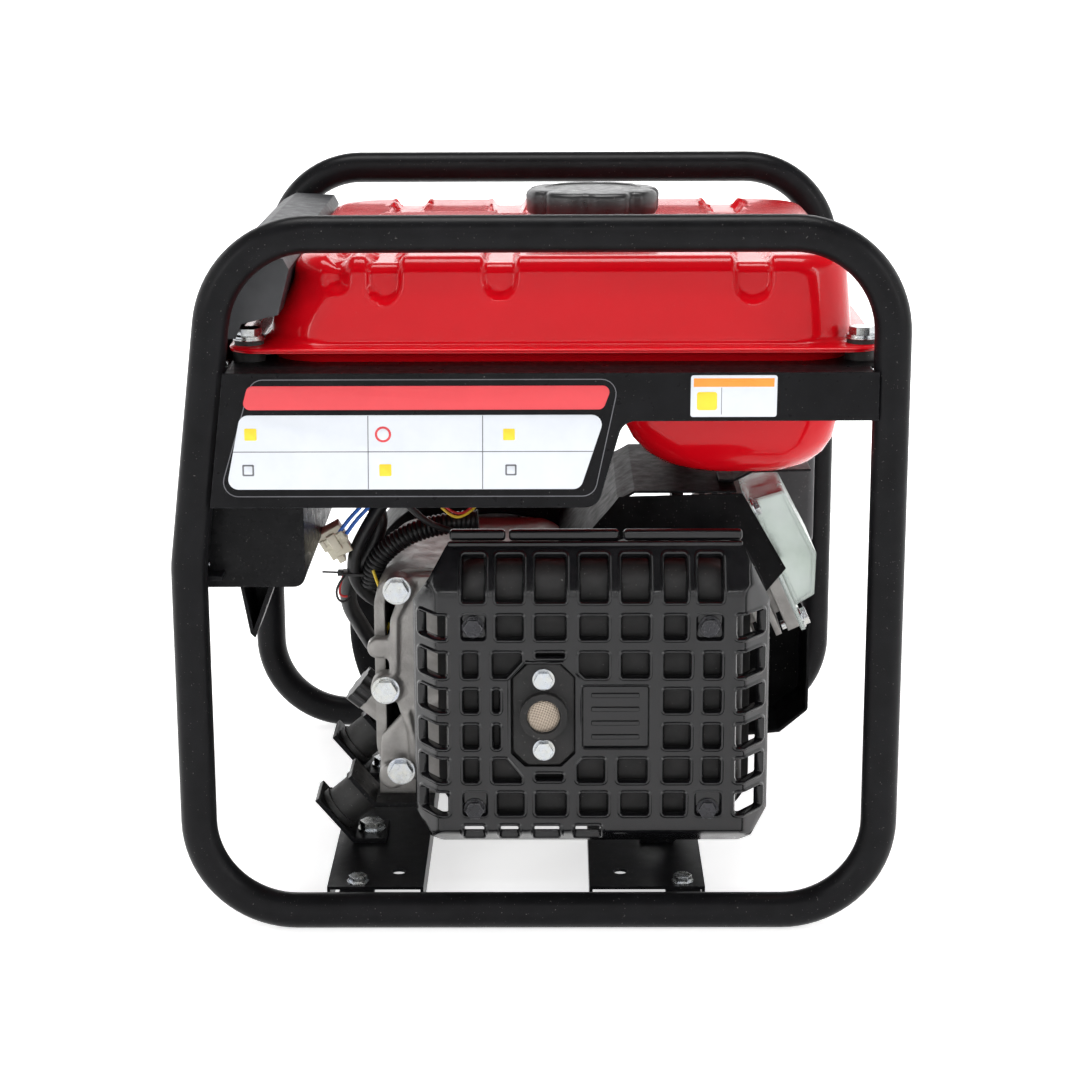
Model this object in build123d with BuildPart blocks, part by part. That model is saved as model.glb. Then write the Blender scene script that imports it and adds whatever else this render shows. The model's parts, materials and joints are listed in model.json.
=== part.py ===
from build123d import *
import math
import os

os.makedirs("parts", exist_ok=True)

# Open-frame inverter generator, in millimetres.
# X runs from the control panel (-X) to the cylinder head (+X), Y from the muffler side (-Y)
# to the recoil starter (+Y), Z up. The origin is on the ground under the middle of the frame.

# ---- tube frame ----
frame_width = 445.0
frame_depth = 427.0
shelf_height = 354.6  # top face of the shelves that carry the tank
crown_height = 92.4  # from the shelves to the top of the hoops
tube_dia = 22.2
bend_radius = 60.0
kink_height = 235.0  # above it the panel side leans in
lean_angle = 7.0

# ---- sheet and clearances ----
sheet = 1.5
skin = 1.2
fit_gap = 0.3  # between neighbours that only lie close
running_gap = 0.05  # radial, a piece that turns or slides on another
bolt_gap = 0.3  # radial, bolt in its hole

# ---- channels under the engine ----
channel_top = 22.0
channel_wall = 2.0
channel_skirt = 17.0
left_channel_x, left_channel_width = -103.5, 61.0
right_channel_x, right_channel_width = 68.5, 73.0
tab_width, tab_reach = 22.0, 26.0
left_tab_x, right_tab_x = -115.0, 91.0
tray_bolt_x = (-90.0, 52.0)
tray_bolt_y = 165.0
tray_bolt_hole = 9.0

# ---- engine ----
crank_x, crank_z = -31.0, 121.0
cylinder_y = -38.0
cylinder_tilt = 24.0
bore = 68.0
stroke = 54.0
rod_length = 84.0
deck = 70.0  # along the cylinder, from the crank axis
head_base = 140.0
head_top = 202.0
crankcase_front, crankcase_back = -95.0, 45.0
cover_thickness = 15.0
case_wall = 7.0
foot_bottom, foot_thickness = 50.0, 12.0
journal = 12.5
bearing_radius, bearing_width = 26.0, 13.0

# ---- generator end ----
stator_radius = 72.0
rotor_radius = 84.0
fan_radius = 96.0
housing_radius = 106.5
housing_front, housing_back = 54.5, 150.0
recoil_radius = 88.0
recoil_depth = 36.0
pulley_pitch = 32.0
rope_dia = 4.0

# ---- tank ----
flange_left, flange_right = -187.0, 208.5
flange_sheet = 0.9
rubber_below, rubber_above = 7.4, 3.5
tank_height = 54.0
sump_depth = 93.0
bush_x = (-175.5, 197.5)
bush_inset = 39.4  # behind the hoop's centre plane
cap_x = 36.0
neck_radius = 26.5
cap_radius = 45.0
cap_height = 17.0

# ---- muffler and guard ----
muffler_left, muffler_right = -58.0, 128.0
muffler_low, muffler_high = 60.0, 228.0
muffler_front, muffler_back = -180.0, -117.5
guard_face_y = -188.0
guard_depth = 23.0
guard_pitch_x, guard_pitch_z = 24.4, 23.83
guard_window = 19.6
outlet_x, outlet_z = 3.4, 134.4

# ---- panel ----
panel_width, panel_length, panel_sheet = 370.0, 143.0, 3.0
panel_mid_z = 293.5
box_right, box_low, box_high = -144.0, 214.0, 350.0

# ---- worked out ----
tube_r = tube_dia / 2
frame_height = shelf_height + crown_height
hoop_x = frame_width / 2 - tube_r
hoop_y = frame_depth / 2 - tube_r
hoop_top = frame_height - tube_r
lean = math.tan(math.radians(lean_angle))
tilt_cos = math.cos(math.radians(cylinder_tilt))
tilt_sin = math.sin(math.radians(cylinder_tilt))
inner_y = hoop_y - tube_r - fit_gap  # the free half depth between the hoops
plate_face_y = hoop_y + 9.0
flange_low = shelf_height + rubber_below
seam = flange_low + flange_sheet
tank_base = seam + flange_sheet
tank_top = tank_base + tank_height
bush_y = hoop_y - bush_inset
flange_half_y = hoop_y - 17.4


def lean_x(z):
    """X of the leaning hoop side's centreline at a height."""
    return -hoop_x + max(0.0, z - kink_height) * lean


def panel_plane(u, v, out=0.0):
    """A plane on the control panel: u to the reader's right, v up the slope."""
    slope = math.radians(lean_angle)
    up = (math.sin(slope), 0, math.cos(slope))
    normal = (-math.cos(slope), 0, math.sin(slope))
    x = lean_x(panel_mid_z) + v * up[0] + out * normal[0]
    z = panel_mid_z + v * up[2] + out * normal[2]
    return Plane(origin=(x, -u, z), x_dir=(0, -1, 0), z_dir=normal)


def cylinder_plane(along, perp=0.0, y=cylinder_y):
    """A plane square to the cylinder axis: its x runs along Y, its y up across the cylinder."""
    x = crank_x + along * tilt_cos - perp * tilt_sin
    z = crank_z + along * tilt_sin + perp * tilt_cos
    return Plane(origin=(x, y, z), x_dir=(0, 1, 0), z_dir=(tilt_cos, 0, tilt_sin))


def side_plane(y):
    """The cylinder's side view at a Y: its x runs along the cylinder, its y across; normal -Y."""
    return Plane(origin=(crank_x, y, crank_z), x_dir=(tilt_cos, 0, tilt_sin), z_dir=(0, -1, 0))


def front_plane(y, x=0.0, z=0.0):
    """A plane facing -Y, with x along X and y along Z."""
    return Plane(origin=(x, y, z), x_dir=(1, 0, 0), z_dir=(0, -1, 0))


def rear_plane(y, x=0.0, z=0.0):
    """A plane facing +Y."""
    return Plane(origin=(x, y, z), x_dir=(-1, 0, 0), z_dir=(0, 1, 0))


def level(z, x=0.0, y=0.0):
    return Plane(origin=(x, y, z))


def save(piece, name):
    piece.part.label = name
    export_step(piece.part, f"parts/{name}.step")


def outline(*points, radius=0.0):
    """A closed face through points, its corners rounded."""
    with BuildSketch() as face:
        with BuildLine():
            Polyline(*points, close=True)
        make_face()
        if radius:
            fillet(face.vertices(), radius=radius)
    return face.sketch


def block(width, height):
    """A rectangular face about the origin."""
    with BuildSketch() as face:
        Rectangle(width, height)
    return face.sketch


def ribbon(points, thickness):
    """A strip of sheet seen from its edge, to the left of its points."""
    left = []
    for index, point in enumerate(points):
        before = points[max(index - 1, 0)]
        after = points[min(index + 1, len(points) - 1)]
        first = math.atan2(point[1] - before[1], point[0] - before[0]) if index else None
        last = math.atan2(after[1] - point[1], after[0] - point[0]) if index < len(points) - 1 else None
        first = last if first is None else first
        last = first if last is None else last
        half = (last - first) / 2
        reach = thickness / math.cos(half)
        normal = first + half + math.pi / 2
        left.append((point[0] + reach * math.cos(normal), point[1] + reach * math.sin(normal)))
    return outline(*points, *reversed(left))


def run(plane, face, amount):
    """Extrude a face drawn on XY from a plane."""
    extrude(plane * face, amount=amount)


def cut(plane, face, amount):
    extrude(plane * face, amount=amount, mode=Mode.SUBTRACT)


def peg(plane, radius, length, mode=Mode.ADD):
    """A round peg, or a hole, from a plane along its normal."""
    with Locations(plane):
        Cylinder(radius, length, align=(Align.CENTER, Align.CENTER, Align.MIN), mode=mode)


def brick(x0, x1, y0, y1, z0, z1, mode=Mode.ADD):
    with Locations(((x0 + x1) / 2, (y0 + y1) / 2, (z0 + z1) / 2)):
        Box(x1 - x0, y1 - y0, z1 - z0, mode=mode)


def hose(points, radius):
    """A tube of straight runs and arcs, each arc as large as its runs allow."""
    corners = []
    ends = [Vector(*point) for point in points]
    for before, here, after in zip(ends, ends[1:], ends[2:]):
        turn = math.radians((here - before).get_angle(after - here))
        shorter = min((here - before).length, (after - here).length)
        corners.append(0.45 * shorter / math.tan(turn / 2))
    with BuildPart() as tube:
        with BuildLine() as path:
            FilletPolyline(*points, radius=corners)
        with BuildSketch(Plane(origin=path.line @ 0, z_dir=path.line % 0)):
            Circle(radius)
        sweep()
    return tube.part


def flange_bolt(thread, shank):
    """A hexagon flange bolt: its seat is the XY plane and its shank points down."""
    with BuildPart() as piece:
        with BuildSketch():
            RegularPolygon(radius=0.85 * thread, side_count=6, major_radius=False)
        extrude(amount=0.75 * thread)
        Cylinder(1.15 * thread, 0.18 * thread, align=(Align.CENTER, Align.CENTER, Align.MIN))
        Cylinder(thread / 2, shank, align=(Align.CENTER, Align.CENTER, Align.MAX))
    return piece.part


def bolt_hole(plane, thread, shank):
    with Locations(plane):
        Cylinder(
            thread / 2 + bolt_gap,
            shank + bolt_gap,
            align=(Align.CENTER, Align.CENTER, Align.MAX),
            mode=Mode.SUBTRACT,
        )


washer_top = seam + flange_sheet + rubber_above + 1.0
tank_bolt_planes = [level(washer_top, x, side * bush_y) for x in bush_x for side in (-1, 1)]
tank_shank = washer_top - shelf_height + 4.0
tab_y = hoop_y - 20.0
tab_bolt_planes = [level(channel_top, x, side * tab_y) for x in (left_tab_x,
                                                                 right_tab_x) for side in (-1, 1)]
tab_shank = 14.0
cover_bolt_spots = [(-60.8, 73.0), (-69.2, 5.6), (-60.0, -50.0), (0.0, 76.0), (0.0, -50.0), (44.0, 60.0)]
cover_front = crankcase_front - cover_thickness
cover_bolt_planes = [front_plane(cover_front, crank_x + x, crank_z + z) for x, z in cover_bolt_spots]
cover_shank = 30.0
guard_mid_x = outlet_x + 29.6
guard_bolt_x = (guard_mid_x - 3 * guard_pitch_x, guard_mid_x + 3 * guard_pitch_x)
guard_bolt_z = (outlet_z - 63.0, outlet_z + 56.2)
guard_seat_y = guard_face_y + 4.0
guard_bolt_planes = [front_plane(guard_seat_y, x, z) for x in guard_bolt_x for z in guard_bolt_z]
guard_shank = 12.0
arrester_seat_y = guard_face_y + 1.8
arrester_bolt_planes = [front_plane(arrester_seat_y, outlet_x, outlet_z + side * 22.9) for side in (-1, 1)]
arrester_shank = 14.0
rocker_seat = 205.0
rocker_bolt_planes = [cylinder_plane(rocker_seat, perp, cylinder_y + side * 45.0)
                      for perp in (-40.0, 41.0) for side in (-1, 1)]
rocker_shank = 14.0

# ---- front and rear hoops ----
hoop_corners = [
    (hoop_x, tube_r),
    (hoop_x, hoop_top),
    (lean_x(hoop_top), hoop_top),
    (-hoop_x, kink_height),
    (-hoop_x, tube_r),
]


def make_hoop(side):
    with BuildPart() as piece:
        with BuildLine(front_plane(side * hoop_y)) as path:
            FilletPolyline(*hoop_corners, radius=bend_radius, close=True)
        with BuildSketch(Plane(origin=path.line @ 0, z_dir=path.line % 0)):
            Circle(tube_r)
        sweep()
        for x in (left_tab_x, right_tab_x):
            near, far = sorted((side * (hoop_y - 6.0), side * (hoop_y - 6.0 - tab_reach)))
            brick(x - tab_width / 2, x + tab_width / 2, near, far,
                  channel_top - channel_wall - 3.0, channel_top - channel_wall)
        for plane in tab_bolt_planes:
            bolt_hole(plane, 6.0, tab_shank)
    return piece


frame_loop_front = make_hoop(-1)
save(frame_loop_front, "frame_loop_front")
frame_loop_rear = make_hoop(1)
save(frame_loop_rear, "frame_loop_rear")

# ---- rubber mounts and their brackets ----
# Places across a mount are measured from its channel's middle, inwards to the engine.
mount_y = (-96.0, 34.0)
foot_bolt_y = (-84.0, 30.0)
mount_dia, mount_length = 30.0, 24.0
mount_lean = math.radians(40.0)
bracket_sheet = 3.0
bracket_width = 36.0
slant_length = 38.0
slant_start = -20.0
mount_place = 20.0  # along the slant
pad_bolt_in = -8.8
foot_bolt_in = 24.0
slant = (-math.sin(mount_lean), math.cos(mount_lean))
square = (math.cos(mount_lean), math.sin(mount_lean))
lower_run = [
    (2.0, channel_top),
    (slant_start, channel_top),
    (slant_start + slant_length * slant[0], channel_top + slant_length * slant[1]),
]
bracket_low = foot_bottom - bracket_sheet
stack = bracket_sheet + mount_length
knee_along = (bracket_low - channel_top - stack * square[1]) / slant[1]
knee_in = slant_start + stack * square[0] + knee_along * slant[0]
upper_run = [
    (34.0, bracket_low),
    (knee_in, bracket_low),
    (knee_in + 26.0 * slant[0], bracket_low + 26.0 * slant[1]),
]
mount_foot = (
    slant_start + mount_place * slant[0] + bracket_sheet * square[0],
    channel_top + mount_place * slant[1] + bracket_sheet * square[1],
)
sides = ((-1, left_channel_x), (1, right_channel_x))


def mount_point(side, middle, inwards):
    return middle - side * inwards


def bracket_face(side, middle, points):
    spots = [(mount_point(side, middle, x), z) for x, z in points]
    return ribbon(spots, side * bracket_sheet)


pad_bolt_planes = [level(channel_top + bracket_sheet, mount_point(side, middle, pad_bolt_in), y)
                   for side, middle in sides for y in mount_y]
pad_shank = 12.0
foot_bolt_planes = [Plane(origin=(mount_point(side, middle, foot_bolt_in), y, bracket_low), z_dir=(0,
                                                                                                   0, -1))
                    for side, middle in sides for y in foot_bolt_y]
foot_shank = bracket_sheet + foot_thickness - 2.0

with BuildPart() as mount_brackets:
    for side, middle in sides:
        for y in mount_y:
            back = y + bracket_width / 2
            for points in (lower_run, upper_run):
                run(front_plane(back), bracket_face(side, middle, points), bracket_width)
    for plane in pad_bolt_planes:
        bolt_hole(plane, 8.0, pad_shank)
    for plane in foot_bolt_planes:
        bolt_hole(plane, 8.0, foot_shank)
save(mount_brackets, "mount_brackets")

with BuildPart() as vibration_mounts:
    for side, middle in sides:
        for y in mount_y:
            foot = Plane(
                origin=(mount_point(side, middle, mount_foot[0]), y, mount_foot[1]),
                x_dir=(0, 1, 0),
                z_dir=(-side * square[0], 0, square[1]),
            )
            peg(foot, mount_dia / 2 - 1.5, mount_length)
            peg(foot, mount_dia / 2, 4.0)
            peg(foot.offset(mount_length - 4.0), mount_dia / 2, 4.0)
save(vibration_mounts, "vibration_mounts")

# ---- channels ----
with BuildPart() as base_channels:
    channels = ((left_channel_x, left_channel_width), (right_channel_x, right_channel_width))
    for middle, width in channels:
        brick(middle - width / 2, middle + width / 2, -inner_y, inner_y, channel_top - channel_skirt,
              channel_top)
        brick(middle - width / 2 + channel_wall, middle + width / 2 - channel_wall, -inner_y, inner_y,
              channel_top - channel_skirt, channel_top - channel_wall, mode=Mode.SUBTRACT)
    for plane in tab_bolt_planes:
        bolt_hole(plane, 6.0, tab_shank)
    for plane in pad_bolt_planes:
        bolt_hole(plane, 8.0, pad_shank)
    for x in tray_bolt_x:
        for side in (-1, 1):
            peg(level(channel_top - 5.0, x, side * tray_bolt_y), tray_bolt_hole / 2, 10.0, Mode.SUBTRACT)
save(base_channels, "base_channels")

# ---- side plates with the shelves that carry the tank ----
plate_left_gap, plate_right_gap = 10.5, 8.4
shelf_reach = 65.0
front_step_x, front_low, rear_low = 51.3, 81.8, 29.2


def plate_face(low, step_x=None):
    """Outline of a side plate below its shelf."""
    right = hoop_x - plate_right_gap
    bottom = shelf_height - low
    top_left = (lean_x(shelf_height) + plate_left_gap, shelf_height)
    bottom_left = (lean_x(bottom) + plate_left_gap, bottom)
    if step_x is None:
        return outline(top_left, bottom_left, (right, bottom), (right, shelf_height))
    rise = shelf_height - rear_low
    points = [top_left, bottom_left, (step_x - 15.0, bottom), (step_x, rise), (right, rise),
              (right, shelf_height)]
    with BuildSketch() as face:
        with BuildLine():
            Polyline(*points, close=True)
        make_face()
        corners = [v for v in face.vertices() if abs(v.X - step_x) < 0.1 or abs(v.X - step_x + 15.0) < 0.1]
        fillet(corners, radius=10.0)
    return face.sketch


def make_side_plate(side, face):
    plane = front_plane(side * plate_face_y + (sheet if side < 0 else 0.0))
    shelf_left = lean_x(shelf_height) + tube_r + 0.6
    shelf_right = hoop_x - tube_r - fit_gap
    with BuildPart() as piece:
        run(plane, face, sheet)
        low = shelf_height - sheet
        outer, inner = side * plate_face_y, side * inner_y
        back = side * (plate_face_y - shelf_reach)
        brick(shelf_left, shelf_right, min(outer, inner), max(outer, inner), low, shelf_height)
        brick(lean_x(shelf_height) + tube_r, flange_right, min(inner, back), max(inner, back), low,
              shelf_height)
        for x in bush_x:
            peg(level(low - 1.0, x, side * bush_y), 4.0 + bolt_gap, 5.0, Mode.SUBTRACT)
    return piece


side_plate_front = make_side_plate(-1, plate_face(front_low, front_step_x))
save(side_plate_front, "side_plate_front")
side_plate_rear = make_side_plate(1, plate_face(rear_low))
save(side_plate_rear, "side_plate_rear")

# ---- fuel tank ----
body_left, body_right, body_half_y, body_corner = -160.0, 194.0, 171.0, 40.0
top_left_in, top_right_in, top_in = 14.0, 4.0, 5.0
sump_left, sump_right, sump_half_y = 58.0, 192.0, 130.0
sump_round = 21.0
tub_depth = 30.0
tub_half_y = plate_face_y - shelf_reach - 2.0


def slab(x0, x1, half_y, z, radius):
    with BuildSketch(level(z, (x0 + x1) / 2)) as face:
        RectangleRounded(x1 - x0, 2 * half_y, radius)
    return face.sketch


def tank_upper_form(inset):
    with BuildPart() as form:
        loft([
            slab(body_left + inset, body_right - inset, body_half_y - inset, seam, body_corner - inset),
            slab(body_left + top_left_in + inset, body_right - top_right_in - inset,
                 body_half_y - top_in - inset, tank_top - inset, body_corner - 8.0 - inset),
        ])
        fillet(form.faces().sort_by(Axis.Z)[-1].edges(), radius=10.0 - inset)
    return form.part


def tank_lower_form(inset):
    floor = seam - sump_depth + inset
    with BuildPart() as form:
        loft([
            slab(body_left + 22.0 + inset, body_right - inset, tub_half_y - inset, seam,
                 body_corner - inset),
            slab(body_left + 30.0 + inset, body_right - 4.0 - inset, tub_half_y - 8.0 - inset,
                 seam - tub_depth + inset, body_corner - 6.0 - inset),
        ])
        loft([
            slab(sump_left + inset, sump_right - 2.0 - inset, sump_half_y - inset,
                 seam - tub_depth + 2.0 + inset,
                 24.0 - inset),
            slab(sump_left + inset, sump_right - 2.0 - inset, sump_half_y - inset, floor + sump_round,
                 24.0 - inset),
        ])
        loft([
            slab(sump_left + inset, sump_right - 2.0 - inset, sump_half_y - inset, floor + sump_round,
                 24.0 - inset),
            slab(sump_left + sump_round + inset, sump_right - sump_round - inset,
                 sump_half_y - sump_round - inset,
                 floor, 14.0 - inset),
        ])
    return form.part


def flange_ring(low):
    """The flange of one shell, with its bolt holes."""
    with BuildPart() as ring:
        brick(flange_left, flange_right, -flange_half_y, flange_half_y, low, low + flange_sheet)
        fillet(ring.edges().filter_by(Axis.Z), radius=14.0)
        for x in bush_x:
            for side in (-1, 1):
                peg(level(low - 1.0, x, side * bush_y), 4.0 + bolt_gap, 4.0, Mode.SUBTRACT)
    return ring.part


neck_high = tank_top + 9.0
cap_low = tank_top + 7.2
ledge_z = neck_high - 8.0
with BuildPart() as fuel_tank_upper:
    add(tank_upper_form(0.0))
    add(flange_ring(seam))
    peg(level(tank_top - 4.0, cap_x), cap_radius + 6.0, 8.0)
    peg(level(tank_top, cap_x), neck_radius + 3.5, neck_high - tank_top)
    add(tank_upper_form(skin), mode=Mode.SUBTRACT)
    peg(level(tank_top - 30.0, cap_x), neck_radius - 1.5, 60.0, Mode.SUBTRACT)
    peg(level(ledge_z, cap_x), neck_radius, 30.0, Mode.SUBTRACT)
save(fuel_tank_upper, "fuel_tank_upper")

outlet_hose_x, outlet_hose_y = 100.0, 92.0
with BuildPart() as fuel_tank_lower:
    add(tank_lower_form(0.0))
    add(flange_ring(flange_low))
    add(tank_lower_form(skin), mode=Mode.SUBTRACT)
    peg(level(seam - sump_depth - 5.0, outlet_hose_x, outlet_hose_y), 7.0, 12.0, Mode.SUBTRACT)
save(fuel_tank_lower, "fuel_tank_lower")

with BuildPart() as fuel_strainer:
    peg(level(ledge_z, cap_x), neck_radius - 0.2, 1.6)
    peg(level(ledge_z - 42.0, cap_x), neck_radius - 2.2, 42.0)
    peg(level(ledge_z - 40.6, cap_x), neck_radius - 3.6, 60.0, Mode.SUBTRACT)
    for height in range(4):
        with Locations(level(ledge_z - 34.0 + 8.0 * height, cap_x)):
            with PolarLocations(neck_radius - 3.0, 8):
                Box(6.0, 7.0, 5.0, mode=Mode.SUBTRACT)
save(fuel_strainer, "fuel_strainer")

with BuildPart() as tank_bushes:
    for x in bush_x:
        for side in (-1, 1):
            peg(level(shelf_height, x, side * bush_y), 10.0, rubber_below)
            peg(level(seam + flange_sheet, x, side * bush_y), 9.0, rubber_above)
            peg(level(shelf_height - 1.0, x, side * bush_y), 4.0 + bolt_gap, 30.0, Mode.SUBTRACT)
save(tank_bushes, "tank_bushes")

# ---- cap, with its seal ----
with BuildPart() as fuel_cap:
    peg(level(cap_low, cap_x), cap_radius, cap_height)
    fillet(fuel_cap.faces().sort_by(Axis.Z)[-1].edges(), radius=3.0)
    with Locations(level(cap_low + cap_height / 2, cap_x)):
        with PolarLocations(cap_radius + 7.0, 8, start_angle=22.5):
            Cylinder(11.0, 3 * cap_height, mode=Mode.SUBTRACT)
    peg(level(cap_low - 1.0, cap_x), neck_radius + 5.5, 9.5, Mode.SUBTRACT)
    peg(level(neck_high - 3.0, cap_x), neck_radius - 4.0, cap_low + cap_height - neck_high)
save(fuel_cap, "fuel_cap")

with BuildPart() as cap_seal:
    peg(level(neck_high + 0.05, cap_x), neck_radius + 4.0, cap_low + 8.5 - neck_high - 0.1)
    peg(level(neck_high - 1.0, cap_x), neck_radius - 3.5, 20.0, Mode.SUBTRACT)
save(cap_seal, "cap_seal")

# ---- control panel, its sockets and its box ----
socket_back = 22.0
duplex_at, camper_at, car_at, usb_at = (66.0, 4.0), (130.0, 10.0), (-30.0, -28.0), (-30.0, 30.0)
link_at = ((14.0, 22.0), (14.0, -8.0))
ground_at = (160.0, -52.0)
engine_switch_at, eco_switch_at = (-145.0, 22.0), (-145.0, -32.0)
light_at = ((-104.0, 42.0), (-84.0, 42.0), (-64.0, 42.0))
reset_at, breaker_at = (-100.0, -2.0), (-100.0, -38.0)
rocker_size = (22.0, 30.0)
button_radius = 8.0
screw_spots = [(u, v) for u in (-180.0, 0.0, 180.0) for v in (-63.0, 63.0)]
screw_planes = [panel_plane(u, v) for u, v in screw_spots]
screw_shank = 10.0

with BuildPart() as control_panel:
    with BuildSketch(panel_plane(0, 0)):
        RectangleRounded(panel_width, panel_length, 9.0)
    extrude(amount=-panel_sheet)
    through = 4 * panel_sheet
    for (u, v), size in ((duplex_at, (38.0, 74.0)), (usb_at, (34.0, 22.0)), (engine_switch_at, (26.0,
                                                                                                34.0)),
                         (eco_switch_at, (26.0, 34.0))):
        cut(panel_plane(u, v, -2 * panel_sheet), block(*size), through)
    for (u, v), radius in ((camper_at, 24.0), (car_at, 15.0), (reset_at, 11.0), (breaker_at, 11.0)):
        peg(panel_plane(u, v, -2 * panel_sheet), radius, through, Mode.SUBTRACT)
    for u, v in light_at:
        peg(panel_plane(u, v, -2 * panel_sheet), 4.0 + fit_gap, through, Mode.SUBTRACT)
    for u, v in link_at:
        peg(panel_plane(u, v, -2 * panel_sheet), 8.0 + fit_gap, through, Mode.SUBTRACT)
    peg(panel_plane(*ground_at, -2 * panel_sheet), 3.3, through, Mode.SUBTRACT)
    for plane in screw_planes:
        bolt_hole(plane, 4.0, screw_shank)
save(control_panel, "control_panel")


def blade_slots(u, v, spread, tall):
    """The slots of one socket face."""
    for side in (-1, 1):
        cut(panel_plane(u + side * spread, v + 2.0, -9.0), block(2.2, tall), 20.0)
    peg(panel_plane(u, v - tall, -9.0), 2.6, 20.0, Mode.SUBTRACT)


with BuildPart() as sockets:
    rim = fit_gap
    u, v = duplex_at
    run(panel_plane(u, v, -socket_back), block(38.0 - 2 * rim, 74.0 - 2 * rim), socket_back + 1.0)
    for half in (-1, 1):
        run(panel_plane(u, v + half * 18.0, 1.0), outline((-16, -13), (16, -13), (16, 13), (-16, 13),
                                                          radius=10.0), 3.0)
        blade_slots(u, v + half * 18.0, 6.3, 7.5)
    u, v = camper_at
    peg(panel_plane(u, v, -socket_back), 24.0 - rim, socket_back + 3.0)
    blade_slots(u, v, 8.0, 9.5)
    u, v = car_at
    peg(panel_plane(u, v, -socket_back), 15.0 - rim, socket_back + 4.0)
    peg(panel_plane(u, v, -socket_back + 3.0), 10.5, 40.0, Mode.SUBTRACT)
    u, v = usb_at
    run(panel_plane(u, v, -socket_back), block(34.0 - 2 * rim, 22.0 - 2 * rim), socket_back + 2.0)
    for side in (-1, 1):
        cut(panel_plane(u + side * 8.0, v, -8.0), block(12.2, 5.0), 20.0)
    for u, v in link_at:
        peg(panel_plane(u, v, -socket_back), 8.0, socket_back + 5.0)
        peg(panel_plane(u, v, -socket_back + 4.0), 2.5, 40.0, Mode.SUBTRACT)
    peg(panel_plane(*ground_at, -socket_back + 6.0), 3.0, socket_back + 4.0)
    for (u, v), outer in ((reset_at, 11.0 - rim), (breaker_at, 11.0 - rim)):
        peg(panel_plane(u, v, -socket_back), outer, socket_back + 2.0)
        peg(panel_plane(u, v, -8.0), button_radius + running_gap, 20.0, Mode.SUBTRACT)
    for u, v in (engine_switch_at, eco_switch_at):
        run(panel_plane(u, v, -socket_back), block(26.0 - 2 * rim, 34.0 - 2 * rim), socket_back + 2.0)
        cut(panel_plane(u, v, -14.0), block(rocker_size[0] + 0.6, rocker_size[1] + 0.6), 30.0)
save(sockets, "sockets")

with BuildPart() as indicator_lights:
    for u, v in light_at:
        peg(panel_plane(u, v, -8.0), 4.0, 10.0)
save(indicator_lights, "indicator_lights")



def make_rocker(u, v):
    """A rocker key whose faces meet over its pivot, made to tip seven degrees each way."""
    plane = panel_plane(u, v)
    side_view = Plane(
        origin=plane.origin - plane.x_dir * (rocker_size[0] / 2),
        x_dir=plane.y_dir,
        z_dir=plane.x_dir,
    )
    half = rocker_size[1] / 2
    with BuildPart() as key:
        run(side_view, outline((-half + 1.2, -3.0), (-half + 2.0, -7.0), (half - 2.0, -7.0),
                               (half - 1.2, -3.0),
                               (half - 1.2, 5.0), (0.0, 2.6), (-half + 1.2, 5.0)), rocker_size[0])
    return key


for name, spot in (("engine_switch", engine_switch_at), ("eco_switch", eco_switch_at)):
    save(make_rocker(*spot), name)

for name, spot in (("reset_button", reset_at), ("breaker_button", breaker_at)):
    with BuildPart() as button:
        peg(panel_plane(*spot, -3.5), button_radius, 9.5)
        fillet(button.faces().sort_by(Axis.X)[0].edges(), radius=1.0)
    save(button, name)

box_half_y = inner_y - 16.0
box_wall = 2.5


def box_outline(inset):
    slope = panel_sheet / math.cos(math.radians(lean_angle)) + fit_gap
    low = box_low + inset

    def left(z):
        return -hoop_x + (z - kink_height) * lean + slope

    return [(left(low), low), (left(box_high - inset), box_high - inset), (box_right - inset,
                                                                           box_high - inset),
            (box_right - inset, low)]


with BuildPart() as panel_box:
    run(front_plane(box_half_y), outline(*box_outline(0.0)), 2 * box_half_y)
    fillet(panel_box.edges().filter_by(Axis.Y).sort_by(Axis.X)[-2:], radius=7.0)
    inside = box_outline(box_wall)
    open_side = [(inside[0][0] - 8.0, inside[0][1]), (inside[1][0] - 8.0, inside[1][1])] + inside[2:]
    cut(front_plane(box_half_y - box_wall), outline(*open_side), 2 * (box_half_y - box_wall))
    peg(level(box_low - 5.0, -160.0, -60.0), 9.0, 10.0, Mode.SUBTRACT)
save(panel_box, "panel_box")

module_left, module_half_y = -176.0, 125.0
with BuildPart() as inverter_module:
    brick(module_left, box_right - box_wall - fit_gap, -module_half_y, module_half_y,
          box_low + 16.0, box_high - 14.0)
    fins = 20
    pitch = 2 * module_half_y / fins
    for index in range(fins):
        y = -module_half_y + (index + 0.5) * pitch
        brick(module_left - 1.0, module_left + 14.0, y - 4.0, y + 4.0, box_low, box_high,
              mode=Mode.SUBTRACT)
save(inverter_module, "inverter_module")

gusset_y = -140.0
with BuildPart() as box_bracket:
    top = box_low - fit_gap
    run(front_plane(gusset_y + 20.0), outline((-187.0, top), (-181.0, top - 34.0), (-178.0, top - 37.0),
                                              (-164.0, top)), 40.0)
    cut(front_plane(gusset_y + 18.0), outline((-184.6, top - 2.0), (-179.0, top - 32.0), (-168.0,
                                                                                          top - 2.0)), 60.0)
    for side in (-1, 1):
        near, far = sorted((side * (box_half_y + fit_gap), side * (inner_y - 0.2)))
        brick(lean_x(box_low) + 4.0, lean_x(box_low) + 18.0, near, far, box_low + 8.0, box_low + 11.0)
save(box_bracket, "box_bracket")

# ---- hood over the panel end of the tank ----
hood_half_y = 178.0
hood_wall = 2.5
hood_low = tank_base + 6.0


def tank_wall_x(drop):
    """X just clear of the tank's leaning left wall, at a height from the tank's top."""
    return body_left + top_left_in * (tank_height + drop) / tank_height - 1.0


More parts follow.
